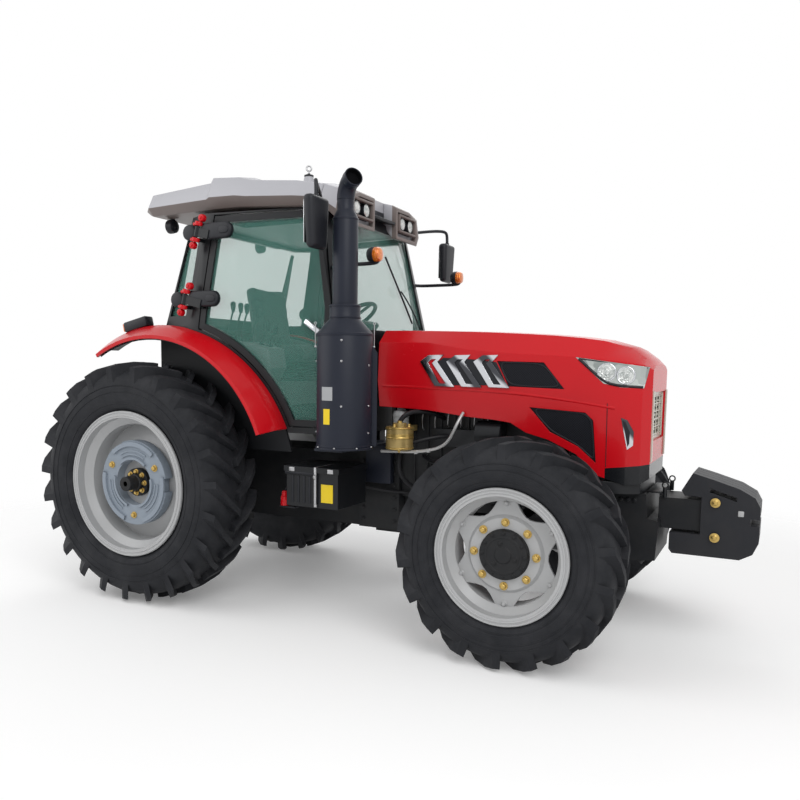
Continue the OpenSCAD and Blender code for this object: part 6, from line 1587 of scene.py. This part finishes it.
class TRACTOR_OT_rear_trim(bpy.types.Operator):
    """Adds couplers, shaft guard, link balls, bolts, ribs and ledge at the rear"""

    bl_idname = "tractor.rear_trim"
    bl_label = "Rear trim"

    def execute(self, context):
        back = -AHEAD
        caps = {"red": bmesh.new(), "black": bmesh.new()}
        bodies = bmesh.new()
        for i in range(3):
            for j, tint in enumerate(("red", "black")):
                spot = at(-0.305, -0.12 + 0.12 * i, 1.325 - 0.062 * j)
                add_turned(bodies, [(0.026, -0.004), (0.026, 0.012), (0.021, 0.014), (0.021, 0.030),
                                    (0.024, 0.032), (0.024, 0.044), (0.018, 0.046)], spot, back, 24)
                add_turned(caps[tint], [(0.0255, 0.036), (0.0265, 0.040), (0.0265, 0.052), (0.022, 0.057),
                                        (0.0, 0.058)], spot, back, 24)
        put_piece("coupler_bodies", bodies, "link_steel", "bare_steel")
        put_piece("coupler_caps_red", caps["red"], "red_paint", "gloss_red")
        put_piece("coupler_caps_black", caps["black"], "black_plastic")

        bm = bmesh.new()
        add_turned(bm, [(0.030, 0.0), (0.062, 0.0), (0.062, 0.010), (0.052, 0.013), (0.036, 0.015),
                        (0.030, 0.012)],
                   at(-0.31, 0, 0.70), back, 36)
        add_ring_of_bolts(bm, at(-0.32, 0, 0.70), back, 0.049, 6, 0.006, 0.007)
        for sign in SIDES.values():
            add_block(bm, at(-0.42, sign * 0.112, 0.74), at(-0.31, sign * 0.119, 0.804), 0.002)
            for z in (0.86, 0.92, 1.10, 1.16):
                add_bolt(bm, at(-0.31, sign * 0.20, z), back, 0.012, 0.012)
            for z in (0.46, 0.50):
                add_bolt(bm, at(-0.31, sign * 0.09, z), back, 0.010, 0.010)
        put_piece("rear_bolts", bm, "link_steel", "bare_steel")

        bm = bmesh.new()
        for sign in SIDES.values():
            ball = at(0.06 - 0.92347, sign * 0.347, 0.465)
            for way in (-1, 1):
                add_turned(bm, [(0.0146, 0.0225), (0.030, 0.0225), (0.036, 0.026), (0.038, 0.0225)], ball,
                           Vector((0, way, 0)), 32)
        put_piece("link_balls", bm, "link_steel", "bare_steel", body="links")

        bm = bmesh.new()
        for z in (1.30, 1.42):
            add_block(bm, at(-0.066, -0.45, z), at(-0.0595, 0.45, z + 0.03), 0.003)
        add_block(bm, at(-0.070, -0.26, 1.62), at(-0.0595, 0.26, 1.74), 0.003)
        put_piece("rear_wall_ribs", bm, "trim_grey")

        bm = bmesh.new()
        add_block(bm, at(-0.0595, -0.69, 1.955), at(0.060, 0.69, 1.996), 0.006)
        add_block(bm, at(-0.057, -0.68, 1.990), at(-0.037, 0.68, 2.004), 0.005)
        for i in range(7):
            add_bolt(bm, at(-0.008, -0.60 + 0.20 * i, 1.996), UP, 0.007, 0.006)
        put_piece("rear_ledge", bm, "black_paint", "satin_black")
        return {"FINISHED"}


class TRACTOR_OT_seat(bpy.types.Operator):
    """Makes the seat from its base, its cushion and its back"""

    bl_idname = "tractor.seat"
    bl_label = "Seat"

    voxel, quick_voxel = 0.006, 0.012
    pressure, last_frame = 4.0, 20

    def execute(self, context):
        bm = bmesh.new()
        for i in range(6):
            z = 1.606 + 0.022 * i
            add_block(bm, at(0.545, -0.135, z), at(0.815, 0.135, z + 0.018), 0.008)
        add_block(bm, at(0.565, -0.115, 1.596), at(0.795, 0.115, 1.742), 0.004)
        add_block(bm, at(0.47, -0.215, 1.736), at(0.89, 0.215, 1.752), 0.006)
        base = put_piece("seat_base", bm, "black_plastic")
        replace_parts(base, "seat")
        lean = Matrix.Translation(at(0.5, 0, 1.784)) @ Matrix.Rotation(math.radians(-10), 4, "Y")
        self.pad("seat_cushion", at(0.455, -0.235, 1.768), at(0.905, 0.235, 1.848), Matrix())
        self.pad("seat_back", Vector((-0.043, -0.22, 0.075)), Vector((0.043, 0.22, 0.54)), lean)
        return {"FINISHED"}

    def pad(self, name, low, high, place):
        """One stuffed pad, swollen by cloth pressure."""
        bm = bmesh.new()
        add_block(bm, low, high, 0.03)
        bmesh.ops.transform(bm, matrix=place, verts=bm.verts)
        made = put_piece(name, bm, "seat_cloth", angle=180.0)
        context = bpy.context
        context.view_layer.objects.active = made
        made.data.remesh_voxel_size = self.voxel
        bpy.ops.object.voxel_remesh()
        rest = [v.co.copy() for v in made.data.vertices]
        cloth = made.modifiers.new("swell", "CLOTH")
        cloth.settings.use_pressure = True
        cloth.settings.uniform_pressure_force = self.pressure
        cloth.settings.effector_weights.gravity = 0.0
        for step in range(1, self.last_frame + 1):
            context.scene.frame_set(step)
        done = made.evaluated_get(context.evaluated_depsgraph_get())
        places = [v.co.copy() for v in done.data.vertices]
        made.modifiers.remove(cloth)
        for vertex, start, end in zip(made.data.vertices, rest, places):
            move = end - start
            vertex.co = start + move * min(1.0, sizes().seat_swell / max(move.length, 1e-6))
        context.scene.frame_set(1)
        made.data.shade_smooth()


class TRACTOR_OT_stage(bpy.types.Operator):
    """Sets the floor, the light and the camera"""

    bl_idname = "tractor.stage"
    bl_label = "Stage"

    def execute(self, context):
        scene = context.scene
        scene.view_settings.view_transform = "Standard"

        bm = bmesh.new()
        floor_half, fade_from, fade_to = 30.0, 3.6, 6.5
        bmesh.ops.create_grid(bm, x_segments=8, y_segments=8, size=floor_half)
        mesh = bpy.data.meshes.new("floor")
        bm.to_mesh(mesh)
        bm.free()
        made, tree, shader, place = start_material("pale_floor")
        detail = surface_detail(tree, place, (0.93, 0.93, 0.93), 0.01, 0.9, 0.05, 1.0)
        link_looks(tree, shader, detail["Colour"], detail["Roughness"])
        shader.inputs["Specular IOR Level"].default_value = 0.0
        shader.inputs["Emission Color"].default_value = (1, 1, 1, 1)
        shader.inputs["Emission Strength"].default_value = 0.16
        reach = add_node(tree, "ShaderNodeVectorMath", {0: place}, operation="LENGTH").outputs["Value"]
        fade = add_node(tree, "ShaderNodeMapRange", {"Value": reach, "From Min": fade_from,
                                                     "From Max": fade_to, "To Min": 1.0, "To Max": 0.0},
                        interpolation_type="SMOOTHSTEP")
        tree.links.new(fade.outputs[0], shader.inputs["Alpha"])
        mesh.materials.append(made)
        floor = bpy.data.objects.new("floor", mesh)
        scene.collection.objects.link(floor)

        world = bpy.data.worlds.new("studio")
        scene.world = world
        world.use_nodes = True
        tree = world.node_tree
        tree.nodes.clear()
        light_path = add_node(tree, "ShaderNodeLightPath").outputs
        seen = calc(tree, "MAXIMUM", light_path["Is Camera Ray"],
                    calc(tree, "MAXIMUM", light_path["Is Glossy Ray"], light_path["Is Transmission Ray"]))
        strength = add_node(tree, "ShaderNodeMapRange", {"Value": seen, "To Min": 0.55, "To Max": 1.0})
        sky = add_node(tree, "ShaderNodeBackground",
                       {"Color": (1.0, 1.0, 1.0, 1.0), "Strength": strength.outputs[0]})
        add_node(tree, "ShaderNodeOutputWorld", {"Surface": sky.outputs[0]})

        for name, place, target, size, power in (
                ("key_light", (5.5, -6.5, 7.5), (0.2, 0, 1.2), 6.0, 420.0),
                ("fill_light", (-6.0, -5.0, 5.0), (0, 0, 1.2), 6.0, 170.0),
                ("back_light", (-2.0, 7.0, 7.0), (0, 0, 1.5), 6.0, 170.0)):
            lamp = bpy.data.lights.new(name, "AREA")
            lamp.size = size
            lamp.energy = power
            holder = bpy.data.objects.new(name, lamp)
            scene.collection.objects.link(holder)
            holder.location = place
            aim = Vector(target) - Vector(place)
            holder.rotation_euler = aim.to_track_quat("-Z", "Y").to_euler()

        camera = bpy.data.cameras.new("photo_camera")
        camera.sensor_width = SENSOR
        camera.lens = PHOTO_FOCUS / PHOTO_SIZE * SENSOR
        camera.shift_x = 0.5 - PHOTO_CENTRE[0] / PHOTO_SIZE
        camera.shift_y = PHOTO_CENTRE[1] / PHOTO_SIZE - 0.5
        camera.clip_end = 200.0
        holder = bpy.data.objects.new("photo_camera", camera)
        scene.collection.objects.link(holder)
        yaw, pitch, roll = PHOTO_YAW, PHOTO_PITCH, PHOTO_ROLL
        ahead = Vector((math.sin(yaw) * math.cos(pitch), math.cos(yaw) * math.cos(pitch), math.sin(pitch)))
        right = Vector((math.cos(yaw), -math.sin(yaw), 0))
        up = right.cross(ahead)
        right, up = (math.cos(roll) * right + math.sin(roll) * up,
                     math.cos(roll) * up - math.sin(roll) * right)
        turn = Matrix((right, up, -ahead)).transposed().to_4x4()
        holder.matrix_world = Matrix.Translation(at(4.1120, -5.1794, 1.7141)) @ turn
        scene.camera = holder
        return {"FINISHED"}


class TRACTOR_PT_panel(bpy.types.Panel):
    """Lists the tractor's pieces, sizes and colours"""

    bl_idname = "TRACTOR_PT_panel"
    bl_label = "Tractor"
    bl_space_type = "VIEW_3D"
    bl_region_type = "UI"
    bl_category = "Tractor"

    def draw(self, context):
        for maker in PIECES:
            self.layout.operator(maker.bl_idname)
        for group in (sizes(), colours()):
            box = self.layout.box()
            for key in group.__annotations__:
                box.prop(group, key)


PIECES = (
    TRACTOR_OT_stage, TRACTOR_OT_finishes, TRACTOR_OT_wheels, TRACTOR_OT_hood_trim, TRACTOR_OT_front_trim,
    TRACTOR_OT_exhaust, TRACTOR_OT_exhaust_trim, TRACTOR_OT_engine_trim, TRACTOR_OT_roof_shell,
    TRACTOR_OT_cab_trim, TRACTOR_OT_roof_trim, TRACTOR_OT_cab_inside, TRACTOR_OT_fender_trim,
    TRACTOR_OT_side_trim, TRACTOR_OT_rear_trim, TRACTOR_OT_seat,
)
CLASSES = (TractorSizes, TractorColours, *PIECES, TRACTOR_PT_panel)


def register():
    """Makes the classes and the panel's settings known."""
    for kind in CLASSES:
        bpy.utils.register_class(kind)
    bpy.types.Scene.tractor_sizes = PointerProperty(type=TractorSizes)
    bpy.types.Scene.tractor_colours = PointerProperty(type=TractorColours)


def unregister():
    """Takes the settings and the classes away again."""
    del bpy.types.Scene.tractor_colours
    del bpy.types.Scene.tractor_sizes
    for kind in reversed(CLASSES):
        bpy.utils.unregister_class(kind)


def main():
    """Makes every piece."""
    register()
    for maker in PIECES:
        group, name = maker.bl_idname.split(".")
        getattr(getattr(bpy.ops, group), name)()


if __name__ == "__main__":
    main()
